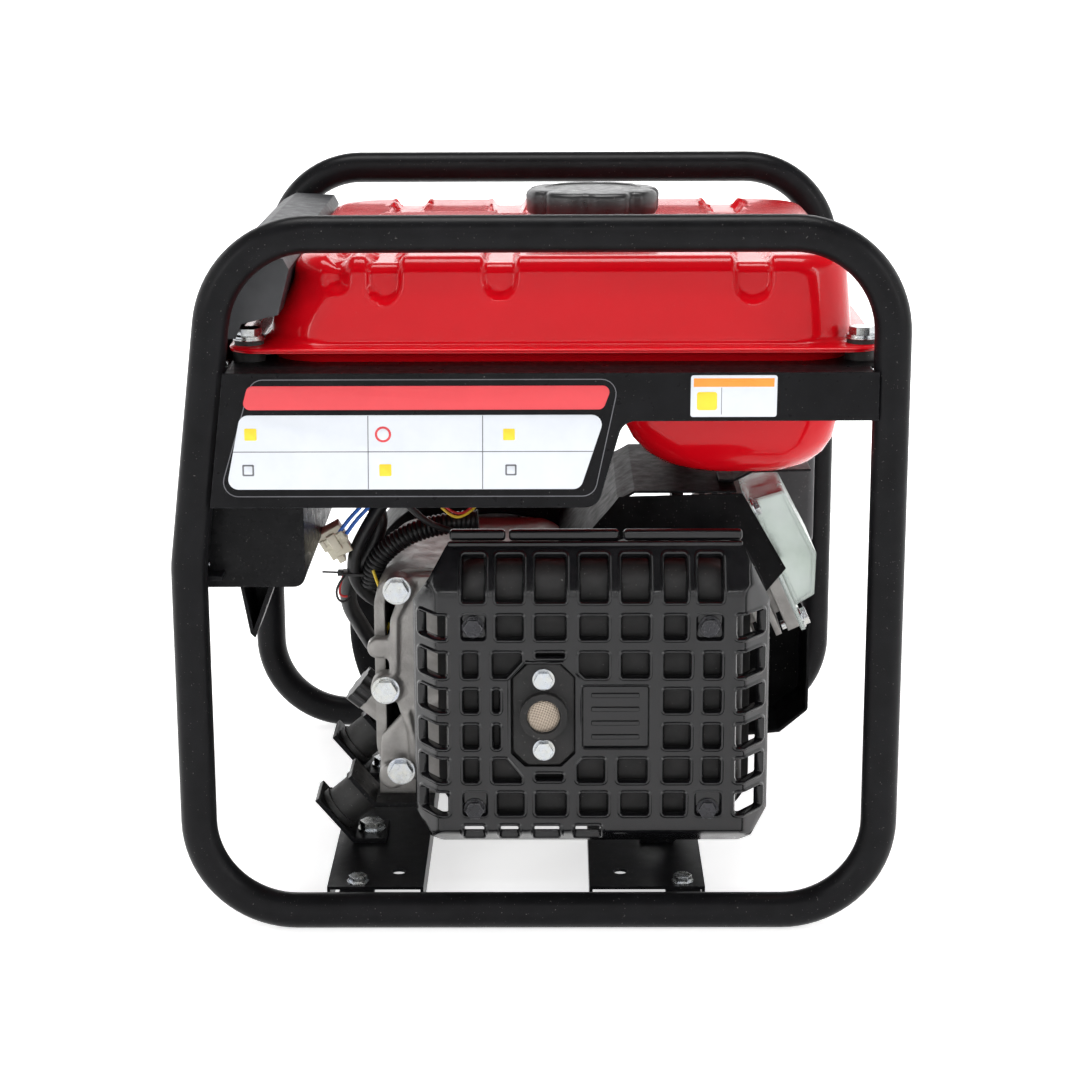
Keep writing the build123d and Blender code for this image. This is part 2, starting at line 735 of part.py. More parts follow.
hood_points = [
    (lean_x(hood_low) + 0.5, hood_low),
    (lean_x(tank_top) - 0.5, tank_top - 3.0),
    (-180.0, tank_top + 2.0),
    (-152.0, tank_top + 0.5),
    (tank_wall_x(-6.0), tank_top - 6.0),
    (tank_wall_x(-20.0), tank_top - 20.0),
    (tank_wall_x(-33.5), tank_top - 33.5),
    (-178.0, tank_top - 39.0),
    (-182.0, hood_low),
]
with BuildPart() as panel_hood:
    run(front_plane(hood_half_y), outline(*hood_points), 2 * hood_half_y)
    hollow = [(x + (3.2 if x < -170 else -3.0), z) for x, z in hood_points[:5]]
    hollow[0] = (hollow[0][0], hood_low - 4.0)
    hollow[2] = (-178.0, tank_top - 0.8)
    hollow[3] = (-156.0, tank_top - 2.0)
    hollow[4] = (-156.0, tank_top - 18.0)
    cut(front_plane(hood_half_y - hood_wall), outline(*hollow, (-160.5, tank_top - 33.0), (-160.5,
                                                                                           hood_low - 4.0)),
        2 * (hood_half_y - hood_wall))
save(panel_hood, "panel_hood")

# ---- crankcase ----
case_left, case_right = -108.0, 22.0
case_low, case_high = 60.0, 205.0
case_corner = 26.0
barrel_half = 47.0
foot_left_in, foot_right_in = -3.0, -3.0
foot_left = mount_point(-1, left_channel_x, foot_left_in)
foot_right = mount_point(1, right_channel_x, foot_right_in)
seat_depth = bearing_width + fit_gap


def case_outline(inset):
    left, right = case_left + inset, case_right - inset
    low, high = case_low + inset, case_high - inset
    return outline((left, low), (right, low), (right, high), (left, high), radius=case_corner - inset)


with BuildPart() as crankcase:
    length = crankcase_back - crankcase_front
    run(front_plane(crankcase_back), case_outline(0.0), length)
    half = cylinder_y - crankcase_front - 4.0
    run(side_plane(cylinder_y + half), outline((0, -barrel_half), (deck, -barrel_half), (deck,
                                                                                         barrel_half),
                                               (0, barrel_half)), 2 * half)
    cut(side_plane(cylinder_y + 60.0), outline((deck, -70), (deck + 60, -70), (deck + 60, 70), (deck,
                                                                                                70)), 120.0)
    brick(foot_left, foot_right, crankcase_front, crankcase_back, foot_bottom,
          foot_bottom + foot_thickness)
    peg(rear_plane(crankcase_back, crank_x, crank_z), 34.0, 4.0)
    wall_back = crankcase_back - case_wall - 8.0
    run_length = wall_back - crankcase_front
    cut(front_plane(wall_back), case_outline(case_wall), run_length + 5.0)
    peg(cylinder_plane(0.0), bore / 2 + 3.0, deck + 5.0, Mode.SUBTRACT)
    peg(rear_plane(wall_back - 1.0, crank_x, crank_z), bearing_radius, seat_depth + 1.0, Mode.SUBTRACT)
    peg(rear_plane(wall_back - 1.0, crank_x, crank_z), journal + 3.0, 60.0, Mode.SUBTRACT)
    for plane in cover_bolt_planes:
        bolt_hole(plane, 8.0, cover_shank)
    for plane in foot_bolt_planes:
        bolt_hole(plane, 8.0, foot_shank)
    dipstick_plane = Plane(origin=(case_left - 9.0, -22.0, 97.0), x_dir=(0, 1, 0), z_dir=(-0.77, 0, 0.64))
    peg(dipstick_plane.offset(-16.0), 13.0, 16.0)
    peg(dipstick_plane.offset(-40.0), 8.0 + 0.2, 60.0, Mode.SUBTRACT)
save(crankcase, "crankcase")

with BuildPart() as crankcase_cover:
    run(front_plane(crankcase_front), case_outline(0.0), cover_thickness)
    for (x, z) in cover_bolt_spots[:2]:
        peg(front_plane(crankcase_front, crank_x + x, crank_z + z), 13.0, cover_thickness)
    peg(rear_plane(crankcase_front - seat_depth, crank_x, crank_z), bearing_radius, seat_depth + 5.0,
        Mode.SUBTRACT)
    for plane in cover_bolt_planes:
        bolt_hole(plane, 8.0, cover_shank)
save(crankcase_cover, "crankcase_cover")

with BuildPart() as oil_dipstick:
    peg(dipstick_plane.offset(0.2), 14.0, 11.0)
    with Locations(dipstick_plane.offset(0.2 + 5.5)):
        with PolarLocations(16.0, 10):
            Cylinder(4.0, 30.0, mode=Mode.SUBTRACT)
    peg(dipstick_plane.offset(-30.0), 8.0, 30.5)
save(oil_dipstick, "oil_dipstick")

# ---- crank train, with the piston at the top of its stroke ----
pin_along = stroke / 2
small_end = pin_along + rod_length
crown = small_end + 24.0
web, web_gap = 13.0, 11.0
crank_end = 118.0
with BuildPart() as crankshaft:
    peg(rear_plane(crankcase_front - seat_depth + 1.0, crank_x, crank_z), journal,
        cylinder_y - web_gap - crankcase_front + seat_depth - 1.0)
    peg(rear_plane(cylinder_y + web_gap, crank_x, crank_z), journal, crank_end - cylinder_y - web_gap)
    for start in (cylinder_y - web_gap - web, cylinder_y + web_gap):
        peg(rear_plane(start, crank_x, crank_z), 38.0, web)
    peg(rear_plane(cylinder_y - web_gap, crank_x + pin_along * tilt_cos,
                   crank_z + pin_along * tilt_sin), 15.0,
        2 * web_gap)
save(crankshaft, "crankshaft")

with BuildPart() as main_bearings:
    for start in (crankcase_front - seat_depth + 0.1, wall_back + 0.1):
        peg(rear_plane(start, crank_x, crank_z), bearing_radius - 0.02, bearing_width)
        peg(rear_plane(start - 1.0, crank_x, crank_z), journal + 0.02, bearing_width + 2.0, Mode.SUBTRACT)
        for face in (start, start + bearing_width - 2.0):
            with BuildSketch(rear_plane(face, crank_x, crank_z)):
                Circle(bearing_radius - 4.0)
                Circle(journal + 4.0, mode=Mode.SUBTRACT)
            extrude(amount=2.0, mode=Mode.SUBTRACT)
save(main_bearings, "main_bearings")

with BuildPart() as connecting_rod:
    for along, outer, hole in ((pin_along, 22.0, 15.05), (small_end, 13.0, 9.05)):
        x, z = crank_x + along * tilt_cos, crank_z + along * tilt_sin
        peg(rear_plane(cylinder_y - 9.0, x, z), outer, 18.0)
    run(side_plane(cylinder_y + 6.0), outline((pin_along + 8, -10), (small_end, -7), (small_end, 7),
                                              (pin_along + 8, 10)), 12.0)
    for along, outer, hole in ((pin_along, 22.0, 15.05), (small_end, 13.0, 9.05)):
        x, z = crank_x + along * tilt_cos, crank_z + along * tilt_sin
        peg(rear_plane(cylinder_y - 20.0, x, z), hole, 40.0, Mode.SUBTRACT)
save(connecting_rod, "connecting_rod")

with BuildPart() as piston:
    peg(cylinder_plane(crown - 46.0), bore / 2 - running_gap, 46.0)
    peg(cylinder_plane(crown - 47.0), bore / 2 - 5.0, 41.0, Mode.SUBTRACT)
    for ring in range(3):
        with BuildSketch(cylinder_plane(crown - 7.0 - 5.0 * ring)):
            Circle(bore / 2 + 1.0)
            Circle(bore / 2 - 2.5, mode=Mode.SUBTRACT)
        extrude(amount=2.0, mode=Mode.SUBTRACT)
    peg(rear_plane(cylinder_y - 30.0, crank_x + small_end * tilt_cos, crank_z + small_end * tilt_sin),
        9.0, 60.0)
save(piston, "piston")

with BuildPart() as cylinder_barrel:
    peg(cylinder_plane(deck), 42.0, head_base - deck)
    for index in range(7):
        with BuildSketch(cylinder_plane(deck + 4.0 + 9.5 * index)):
            RectangleRounded(104.0, 98.0, 10.0)
        extrude(amount=2.6)
    peg(cylinder_plane(deck - 1.0), bore / 2, 100.0, Mode.SUBTRACT)
save(cylinder_barrel, "cylinder_barrel")

port_along = 166.0
port_radius = 12.0
plug_y = cylinder_y - 30.0
head_half_y, head_half = 52.0, 43.0
plug_plane = Plane(origin=cylinder_plane(176.0, head_half, plug_y).origin, x_dir=(0, 1, 0),
                   z_dir=(-tilt_sin, 0.0, tilt_cos))
with BuildPart() as cylinder_head:
    run(side_plane(cylinder_y + head_half_y), outline((head_base + 0.1, -head_half), (head_top,
                                                                                      -head_half),
                                                      (head_top, head_half), (head_base + 0.1, head_half)),
        2 * head_half_y)
    for index in range(6):
        with BuildSketch(cylinder_plane(head_base + 7.0 + 8.5 * index)):
            Rectangle(2 * head_half_y + 2.0, 2 * head_half + 2.0)
            Rectangle(2 * head_half_y - 18.0, 2 * head_half - 24.0, mode=Mode.SUBTRACT)
        extrude(amount=4.5, mode=Mode.SUBTRACT)
    peg(cylinder_plane(head_base - 1.0), bore / 2 - 4.0, 10.0, Mode.SUBTRACT)
    for sign in (-1, 1):
        x, z = crank_x + port_along * tilt_cos, crank_z + port_along * tilt_sin
        plane = front_plane(cylinder_y - 20.0, x, z) if sign < 0 else rear_plane(cylinder_y + 20.0, x, z)
        peg(plane, port_radius + 5.0, head_half_y - 20.0)
        peg(plane, port_radius, head_half_y - 10.0, Mode.SUBTRACT)
    peg(plug_plane.offset(-22.6), 10.5, 22.6)
    peg(plug_plane.offset(-22.3), 7.2, 60.0, Mode.SUBTRACT)
    for plane in rocker_bolt_planes:
        bolt_hole(plane, 6.0, rocker_shank)
save(cylinder_head, "cylinder_head")

with BuildPart() as spark_plug:
    peg(plug_plane.offset(-22.0), 7.0, 22.0)
    with BuildSketch(plug_plane.offset(0.2)):
        RegularPolygon(radius=9.5, side_count=6, major_radius=False)
    extrude(amount=9.0)
    peg(plug_plane, 6.0, 14.0)
save(spark_plug, "spark_plug")

rocker_points = [(rocker_seat, -33.0), (219.0, -31.0), (231.0, -6.0), (228.0, 42.0), (rocker_seat, 45.0)]
with BuildPart() as rocker_cover:
    run(side_plane(cylinder_y + 52.0), outline((head_top + 0.1, -46.5), (rocker_seat, -46.5),
                                               (rocker_seat, 46.5),
                                               (head_top + 0.1, 46.5)), 104.0)
    run(side_plane(cylinder_y + 38.0), outline(*rocker_points), 76.0)
    inner = [(head_top - 2.0, -31.0), (218.0, -29.0), (229.0, -6.0), (226.0, 40.0), (head_top - 2.0, 42.5)]
    cut(side_plane(cylinder_y + 36.0), outline(*inner), 72.0)
    for plane in rocker_bolt_planes:
        bolt_hole(plane, 6.0, rocker_shank)
save(rocker_cover, "rocker_cover")

# ---- air shroud over the barrel and head ----
shroud_front = cylinder_y - head_half_y - 4.0
shroud_back = housing_front - fit_gap
shroud_split = 17.0
shroud_top = 256.0
shroud_run = [(case_right - 9.0, case_high + 1.0), (51.0, 250.0), (62.0, shroud_top), (128.0, shroud_top)]
with BuildPart() as air_shroud:
    run(front_plane(shroud_split), ribbon(shroud_run, -sheet), shroud_split - shroud_front)
    run(front_plane(shroud_back), ribbon(shroud_run[:3] + [(93.0, shroud_top), (93.0, 205.0)], -sheet),
        shroud_back - shroud_split)
    loop_outer = outline((22.0, 212.0), (52.0, 252.0), (132.0, 254.0), (161.0, 204.0), (148.0, 188.0),
                         (128.0, 230.0),
                         (60.0, 226.0))
    run(front_plane(shroud_front + sheet), loop_outer, sheet)
save(air_shroud, "air_shroud")

duct_front, duct_back = -40.0, 14.0
with BuildPart() as lower_shroud:
    run(front_plane(duct_back), outline((84.0, 66.0), (164.0, 74.0), (183.0, 90.0), (183.0, 153.0),
                                        (172.0, 155.0), (84.0, 111.0)), duct_back - duct_front)
    fillet(lower_shroud.edges().filter_by(Axis.Y).sort_by(Axis.X)[-3:], radius=4.0)
    cut(front_plane(duct_back - sheet), outline((82.0, 67.5), (163.0, 75.8), (181.2, 91.0), (181.2, 180.0),
                                                (82.0, 180.0)), duct_back - duct_front)
save(lower_shroud, "lower_shroud")

# ---- fuel and air ----
port_x = crank_x + port_along * tilt_cos
port_z = crank_z + port_along * tilt_sin
carb_front = cylinder_y + head_half_y + 10.0
carb_back = carb_front + 40.0
with BuildPart() as carburetor:
    peg(rear_plane(cylinder_y + head_half_y + fit_gap, port_x, port_z), 16.0, 10.0)
    peg(rear_plane(carb_front, port_x, port_z), 19.0, 40.0)
    brick(port_x - 14.0, port_x + 14.0, carb_front + 8.0, carb_front + 32.0, port_z - 24.0, port_z)
    peg(level(port_z - 50.0, port_x, carb_front + 20.0), 18.0, 28.0)
    peg(level(port_z + 10.0, port_x, carb_front + 34.0), 4.5, 14.0)
    peg(rear_plane(cylinder_y, port_x, port_z), port_radius, 120.0, Mode.SUBTRACT)
    peg(level(port_z + 16.0, port_x, carb_front + 34.0), 2.0 + running_gap, 20.0, Mode.SUBTRACT)
save(carburetor, "carburetor")

choke_base = port_z + 24.0
with BuildPart() as choke_lever:
    peg(level(choke_base - 6.0, port_x, carb_front + 34.0), 2.0, 10.0)
    brick(port_x - 5.0, port_x + 34.0, carb_front + 29.5, carb_front + 38.5, choke_base + 0.3,
          choke_base + 2.3)
    peg(level(choke_base + 0.3, port_x + 32.0, carb_front + 34.0), 6.0, 8.0)
save(choke_lever, "choke_lever")

cleaner_left, cleaner_split, cleaner_right = 112.0, 166.0, 196.0
cleaner_front, cleaner_back = carb_back + 8.0, carb_back + 78.0
cleaner_low, cleaner_high = 176.0, 262.0
with BuildPart() as air_cleaner_base:
    brick(cleaner_left, cleaner_split, cleaner_front, cleaner_back, cleaner_low, cleaner_high)
    fillet(air_cleaner_base.edges().filter_by(Axis.X), radius=10.0)
    brick(cleaner_left + 2.5, cleaner_split + 5.0, cleaner_front + 2.5, cleaner_back - 2.5,
          cleaner_low + 2.5,
          cleaner_high - 2.5, mode=Mode.SUBTRACT)
    peg(rear_plane(carb_back + fit_gap, port_x, port_z), 17.0, 10.0)
    peg(rear_plane(carb_back, port_x, port_z), port_radius, 20.0, Mode.SUBTRACT)
save(air_cleaner_base, "air_cleaner_base")

with BuildPart() as air_cleaner_cover:
    brick(cleaner_split + fit_gap, cleaner_right, cleaner_front, cleaner_back, cleaner_low, cleaner_high)
    fillet(air_cleaner_cover.edges().filter_by(Axis.X), radius=10.0)
    fillet(air_cleaner_cover.faces().sort_by(Axis.X)[-1].edges(), radius=5.0)
    brick(cleaner_split - 5.0, cleaner_right - 2.5, cleaner_front + 8.0, cleaner_back - 8.0,
          cleaner_low + 8.0,
          cleaner_high - 8.0, mode=Mode.SUBTRACT)
save(air_cleaner_cover, "air_cleaner_cover")

with BuildPart() as air_filter_element:
    brick(cleaner_left + 18.0, cleaner_right - 4.0, cleaner_front + 9.0, cleaner_back - 9.0,
          cleaner_low + 9.0,
          cleaner_high - 9.0)
save(air_filter_element, "air_filter_element")

valve_top = seam - sump_depth
with BuildPart() as fuel_valve_body:
    peg(level(valve_top - 4.0, outlet_hose_x, outlet_hose_y), 11.0, 3.8)
    peg(level(valve_top - 24.0, outlet_hose_x, outlet_hose_y), 9.0, 21.0)
    peg(level(valve_top - 4.0, outlet_hose_x, outlet_hose_y), 6.7, 14.0)
    peg(rear_plane(outlet_hose_y, outlet_hose_x, valve_top - 14.0), 7.0, 16.0)
    peg(level(valve_top - 30.0, outlet_hose_x, outlet_hose_y), 3.2, 10.0)
    peg(rear_plane(outlet_hose_y + 4.0, outlet_hose_x, valve_top - 14.0), 2.5 + running_gap, 20.0,
        Mode.SUBTRACT)
save(fuel_valve_body, "fuel_valve_body")

with BuildPart() as fuel_valve_lever:
    base = outlet_hose_y + 16.0
    peg(rear_plane(base - 8.0, outlet_hose_x, valve_top - 14.0), 2.5, 8.5)
    peg(rear_plane(base + 0.3, outlet_hose_x, valve_top - 14.0), 8.0, 7.0)
    brick(outlet_hose_x - 4.0, outlet_hose_x + 4.0, base + 0.3, base + 7.3, valve_top - 44.0,
          valve_top - 14.0)
save(fuel_valve_lever, "fuel_valve_lever")

hose_x = port_x - 19.0 - 4.0 - 0.5
hose_route = [
    (outlet_hose_x, outlet_hose_y, valve_top - 30.2),
    (outlet_hose_x - 0.5, outlet_hose_y - 1.0, valve_top - 50.0),
    (outlet_hose_x - 2.0, outlet_hose_y - 14.0, valve_top - 70.0),
    (hose_x, outlet_hose_y - 31.0, valve_top - 82.0),
    (hose_x, carb_front + 22.0, port_z - 12.0),
]
with BuildPart() as fuel_hose:
    add(hose(hose_route, 4.0))
save(fuel_hose, "fuel_hose")

# ---- exhaust ----
pipe_back = cylinder_y - head_half_y - fit_gap
muffler_mid_y = (muffler_front + muffler_back) / 2
with BuildPart() as muffler_body:
    brick(muffler_left, muffler_right, muffler_front, muffler_back, muffler_low, muffler_high)
    fillet(muffler_body.edges().filter_by(Axis.Y), radius=26.0)
    fillet(muffler_body.faces().sort_by(Axis.Y)[0].edges(), radius=12.0)
    fillet(muffler_body.faces().sort_by(Axis.Y)[-1].edges(), radius=12.0)
    seam_face = outline((muffler_left - 6, muffler_low - 6), (muffler_right + 6, muffler_low - 6),
                        (muffler_right + 6, muffler_high + 6), (muffler_left - 6,
                                                                muffler_high + 6), radius=30.0)
    run(front_plane(muffler_mid_y + 1.2), seam_face, 2.4)
    peg(rear_plane(muffler_back - 1.0, port_x, port_z), port_radius + 2.0, pipe_back - muffler_back + 1.0)
    peg(rear_plane(pipe_back - 5.0, port_x, port_z), port_radius + 8.0, 5.0)
    for plane in guard_bolt_planes + arrester_bolt_planes:
        seat = plane.origin
        peg(rear_plane(guard_seat_y + sheet + fit_gap, seat.X, seat.Z), 7.5, 24.0)
    brick(muffler_left + 3.0, muffler_right - 3.0, muffler_front + 13.0, muffler_back - 3.0,
          muffler_low + 18.0,
          muffler_high - 18.0, mode=Mode.SUBTRACT)
    for plane in guard_bolt_planes:
        bolt_hole(plane, 6.0, guard_shank)
    for plane in arrester_bolt_planes:
        bolt_hole(plane, 6.0, arrester_shank)
    peg(rear_plane(guard_face_y, outlet_x, outlet_z), 11.0, 30.0, Mode.SUBTRACT)
    peg(rear_plane(muffler_back - 10.0, port_x, port_z), port_radius, 60.0, Mode.SUBTRACT)
save(muffler_body, "muffler_body")

guard_half_x, guard_half_z = 95.0, 92.0
guard_mid_z = (guard_bolt_z[0] + guard_bolt_z[1]) / 2 + 13.0
guard_side_left, guard_side_right = 16.5, 17.0
guard_side_z = 13.5
octagon_x, octagon_z, octagon_cut = 19.25, 33.0, 9.0
crest_x, crest_z = 22.0, 21.7
crest_centre = (outlet_x + 45.6, outlet_z - 2.0)


def octagon(half_x, half_z):
    trim = octagon_cut
    return outline((-half_x, -half_z + trim), (-half_x + trim, -half_z), (half_x - trim, -half_z),
                   (half_x, -half_z + trim), (half_x, half_z - trim), (half_x - trim, half_z),
                   (-half_x + trim, half_z), (-half_x, half_z - trim))


def guard_form(inset):
    """The guard's flared box: a face in front, wider at the back."""
    left, right = guard_mid_x - guard_half_x + inset, guard_mid_x + guard_half_x - inset
    low, high = guard_mid_z - guard_half_z + inset, guard_mid_z + guard_half_z - inset
    with BuildPart() as form:
        sections = []
        for y, grow_left, grow_right, grow_z in (
            (guard_face_y + inset, 0.0, 0.0, 0.0),
            (guard_face_y + guard_depth + (0.1 if inset else 0.0), guard_side_left, guard_side_right,
             guard_side_z),
        ):
            x0, x1 = left - grow_left, right + grow_right
            z0, z1 = low - grow_z, high + grow_z
            with BuildSketch(front_plane(y, (x0 + x1) / 2, (z0 + z1) / 2)) as face:
                RectangleRounded(x1 - x0, z1 - z0, 12.0)
            sections.append(face.sketch)
        loft(sections, ruled=True)
    return form.part


window_rows = [guard_bolt_z[0] + index * guard_pitch_z for index in range(6)]
with BuildPart() as muffler_guard:
    add(guard_form(0.0))
    add(guard_form(sheet), mode=Mode.SUBTRACT)
    half = guard_window / 2
    for row, z in enumerate(window_rows):
        for column in range(7):
            x = guard_mid_x + (column - 3) * guard_pitch_x
            bolted = column in (0, 6) and row in (0, 5)
            by_outlet = abs(x - outlet_x) < octagon_x + 6 and abs(z - outlet_z) < octagon_z + 8
            by_crest = abs(x - crest_centre[0]) < crest_x + 5 and abs(z - crest_centre[1]) < crest_z + 8
            if not (bolted or by_outlet or by_crest):
                brick(x - half, x + half, guard_face_y - 5, guard_face_y + 5, z - half, z + half,
                      mode=Mode.SUBTRACT)
            if bolted:
                brick(x - half - sheet, x + half + sheet, guard_face_y, guard_seat_y + sheet,
                      z - half - sheet,
                      z + half + sheet)
                brick(x - half, x + half, guard_face_y - 5, guard_seat_y, z - half, z + half,
                      mode=Mode.SUBTRACT)
        for side, reach in ((-1, 30.0), (1, 30.0)):
            edge = guard_mid_x + side * guard_half_x
            brick(min(edge + side * 3, edge + side * reach), max(edge + side * 3, edge + side * reach),
                  guard_face_y + 4, guard_face_y + guard_depth - 5, z - half, z + half, mode=Mode.SUBTRACT)
    top_z = window_rows[-1] + guard_pitch_z + 10.0
    for column in range(7):
        x = guard_mid_x + (column - 3) * guard_pitch_x
        brick(x - half, x + half, guard_face_y - 5, guard_face_y + 10, top_z - 22.0, top_z,
              mode=Mode.SUBTRACT)
        low_z = window_rows[0] - guard_pitch_z
        brick(x - half, x + half, guard_face_y - 5, guard_face_y + 10, low_z - 5.0, low_z + 9.0,
              mode=Mode.SUBTRACT)
    cut(front_plane(guard_face_y + 5, outlet_x, outlet_z), octagon(octagon_x, octagon_z), 20.0)
    for plane in guard_bolt_planes:
        bolt_hole(plane, 6.0, guard_shank)
save(muffler_guard, "muffler_guard")

with BuildPart() as spark_arrester:
    run(front_plane(arrester_seat_y + sheet, outlet_x, outlet_z), octagon(octagon_x - fit_gap,
                                                                          octagon_z - fit_gap),
        sheet)
    peg(front_plane(arrester_seat_y, outlet_x, outlet_z), 15.0, 6.0)
    peg(front_plane(arrester_seat_y + 10.0, outlet_x, outlet_z), 10.8, 30.0, Mode.SUBTRACT)
    peg(rear_plane(arrester_seat_y - 4.0, outlet_x, outlet_z), 10.8, 1.0)
    for plane in arrester_bolt_planes:
        bolt_hole(plane, 6.0, arrester_shank)
save(spark_arrester, "spark_arrester")

with BuildPart() as heat_shield:
    run(front_plane(-48.0), ribbon([(118.0, shroud_top + 1.0), (128.0, shroud_top + 1.0), (140.0, 263.0),
                                    (178.0, 264.0)], sheet), 24.0)
save(heat_shield, "heat_shield")

# ---- generator end ----
stator_front = housing_front + 2.0
stator_back = stator_front + 30.0
with BuildPart() as stator:
    peg(rear_plane(crankcase_back + 4.0 + fit_gap, crank_x, crank_z), 30.0, stator_front - crankcase_back)
    peg(rear_plane(stator_front, crank_x, crank_z), stator_radius, stator_back - stator_front)
    with Locations(rear_plane(stator_front - 1.0, crank_x, crank_z)):
        with PolarLocations(0.5 * (stator_radius + 44.0), 18):
            Box(18.0, 6.0, 80.0, mode=Mode.SUBTRACT)
    peg(rear_plane(crankcase_back, crank_x, crank_z), journal + 4.0, 60.0, Mode.SUBTRACT)
save(stator, "stator")

rotor_front = stator_front + 1.0
rotor_back = stator_back + 8.0
with BuildPart() as rotor:
    peg(rear_plane(rotor_front, crank_x, crank_z), rotor_radius, rotor_back - rotor_front)
    peg(rear_plane(rotor_front - 1.0, crank_x, crank_z), stator_radius + 1.2,
        stator_back + 3.0 - rotor_front,
        Mode.SUBTRACT)
    peg(rear_plane(rotor_back, crank_x, crank_z), 22.0, crank_end - rotor_back - 2.0)
    peg(rear_plane(rotor_front, crank_x, crank_z), journal + running_gap, 90.0, Mode.SUBTRACT)
save(rotor, "rotor")

fan_front = rotor_back + 0.1
with BuildPart() as cooling_fan:
    peg(rear_plane(fan_front, crank_x, crank_z), fan_radius, 3.0)
    with Locations(rear_plane(fan_front + 3.0, crank_x, crank_z)):
        with PolarLocations(72.0, 16):
            Box(44.0, 2.4, 24.0, rotation=(0, 0, 25), align=(Align.CENTER, Align.CENTER, Align.MIN))
    peg(rear_plane(fan_front + 3.0, crank_x, crank_z), 34.0, 8.0)
    peg(rear_plane(fan_front - 1.0, crank_x, crank_z), 22.1, 60.0, Mode.SUBTRACT)
save(cooling_fan, "cooling_fan")

cup_front = crank_end + 0.4
with BuildPart() as starter_cup:
    peg(rear_plane(cup_front, crank_x, crank_z), 31.0, 24.0)
    peg(rear_plane(cup_front + 2.0, crank_x, crank_z), 29.0, 40.0, Mode.SUBTRACT)
    with Locations(rear_plane(cup_front + 14.0, crank_x, crank_z)):
        with PolarLocations(30.0, 8):
            Box(10.0, 9.0, 8.0, mode=Mode.SUBTRACT)
save(starter_cup, "starter_cup")

with BuildPart() as fan_housing:
    peg(rear_plane(housing_front, crank_x, crank_z), housing_radius, housing_back - housing_front)
    fillet(fan_housing.edges().filter_by(GeomType.CIRCLE), radius=6.0)
    peg(rear_plane(housing_front + 2.0, crank_x, crank_z), housing_radius - 2.0,
        housing_back - housing_front - 4.0,
        Mode.SUBTRACT)
    peg(rear_plane(housing_front - 5.0, crank_x, crank_z), rotor_radius + 2.0, 10.0, Mode.SUBTRACT)
    peg(rear_plane(housing_back - 5.0, crank_x, crank_z), 70.0, 10.0, Mode.SUBTRACT)
save(fan_housing, "fan_housing")

recoil_base = housing_back + fit_gap
recoil_front = recoil_base + recoil_depth
eyelet_x = crank_x + pulley_pitch
eyelet_z = crank_z + 62.0
pulley_y = recoil_base + 14.0
with BuildPart() as recoil_cover:
    peg(rear_plane(recoil_base, crank_x, crank_z), recoil_radius, recoil_depth)
    fillet(recoil_cover.faces().sort_by(Axis.Y)[-1].edges(), radius=8.0)
    peg(rear_plane(recoil_base - 1.0, crank_x, crank_z), recoil_radius - 2.0, recoil_depth - 8.0,
        Mode.SUBTRACT)
    peg(rear_plane(recoil_base - 1.0, crank_x, crank_z), recoil_radius - 8.0, recoil_depth - 1.0,
        Mode.SUBTRACT)
    with Locations(rear_plane(recoil_base + 10.0, crank_x, crank_z)):
        with PolarLocations(56.0, 24):
            Box(26.0, 4.0, 60.0, align=(Align.CENTER, Align.CENTER, Align.MIN), mode=Mode.SUBTRACT)
    peg(rear_plane(recoil_front - 4.0, eyelet_x, eyelet_z), 9.0, 6.0)
    peg(rear_plane(recoil_front - 20.0, eyelet_x, eyelet_z), rope_dia / 2 + 0.6, 60.0, Mode.SUBTRACT)
    peg(rear_plane(pulley_y - 9.0, crank_x, crank_z), 6.0, recoil_front - pulley_y + 7.5)
save(recoil_cover, "recoil_cover")

with BuildPart() as recoil_pulley:
    with Locations(rear_plane(pulley_y - 7.0, crank_x, crank_z)):
        Cylinder(39.0, 14.0, align=(Align.CENTER, Align.CENTER, Align.MIN))
    with BuildSketch(rear_plane(pulley_y - 3.5, crank_x, crank_z)):
        Circle(45.0)
        Circle(pulley_pitch - rope_dia / 2 - fit_gap, mode=Mode.SUBTRACT)
    extrude(amount=7.0, mode=Mode.SUBTRACT)
    peg(rear_plane(pulley_y - 20.0, crank_x, crank_z), 6.0 + running_gap, 60.0, Mode.SUBTRACT)
    peg(rear_plane(pulley_y - 10.0, crank_x + 15.0, crank_z), 4.0, 4.0)
    peg(rear_plane(pulley_y - 10.0, crank_x - 15.0, crank_z), 4.0, 4.0)
save(recoil_pulley, "recoil_pulley")

handle_base = recoil_front + 2.3
with BuildPart() as pull_handle:
    with Locations((eyelet_x, handle_base + 10.5, eyelet_z)):
        Box(88.0, 21.0, 24.0)
    fillet(pull_handle.edges().filter_by(Axis.X), radius=8.0)
    fillet(pull_handle.faces().sort_by(Axis.X)[0].edges() + pull_handle.faces().sort_by(Axis.X)[-1].edges(),
           radius=3.0)
save(pull_handle, "pull_handle")

rope_corner = 9.0
with BuildPart() as pull_rope:
    with BuildLine() as rope_path:
        FilletPolyline((eyelet_x, pulley_y, crank_z + 2.0), (eyelet_x, pulley_y, eyelet_z),
                       (eyelet_x, handle_base - 0.2, eyelet_z), radius=rope_corner)
    with BuildSketch(Plane(origin=rope_path.line @ 0, z_dir=rope_path.line % 0)):
        Circle(rope_dia / 2)
    sweep()
save(pull_rope, "pull_rope")

# ---- wiring ----
loom_route = [
    (box_right + 3.0, -30.0, 242.0),
    (-122.0, -34.0, 243.0),
    (-104.0, -44.0, 230.0),
    (-113.0, -50.0, 204.0),
    (-128.0, -46.0, 186.0),
    (-131.0, -30.0, 164.0),
    (-124.0, -14.0, 144.0),
    (-117.0, 0.0, 126.0),
]
with BuildPart() as wiring_loom:
    add(hose(loom_route, 6.0))
save(wiring_loom, "wiring_loom")

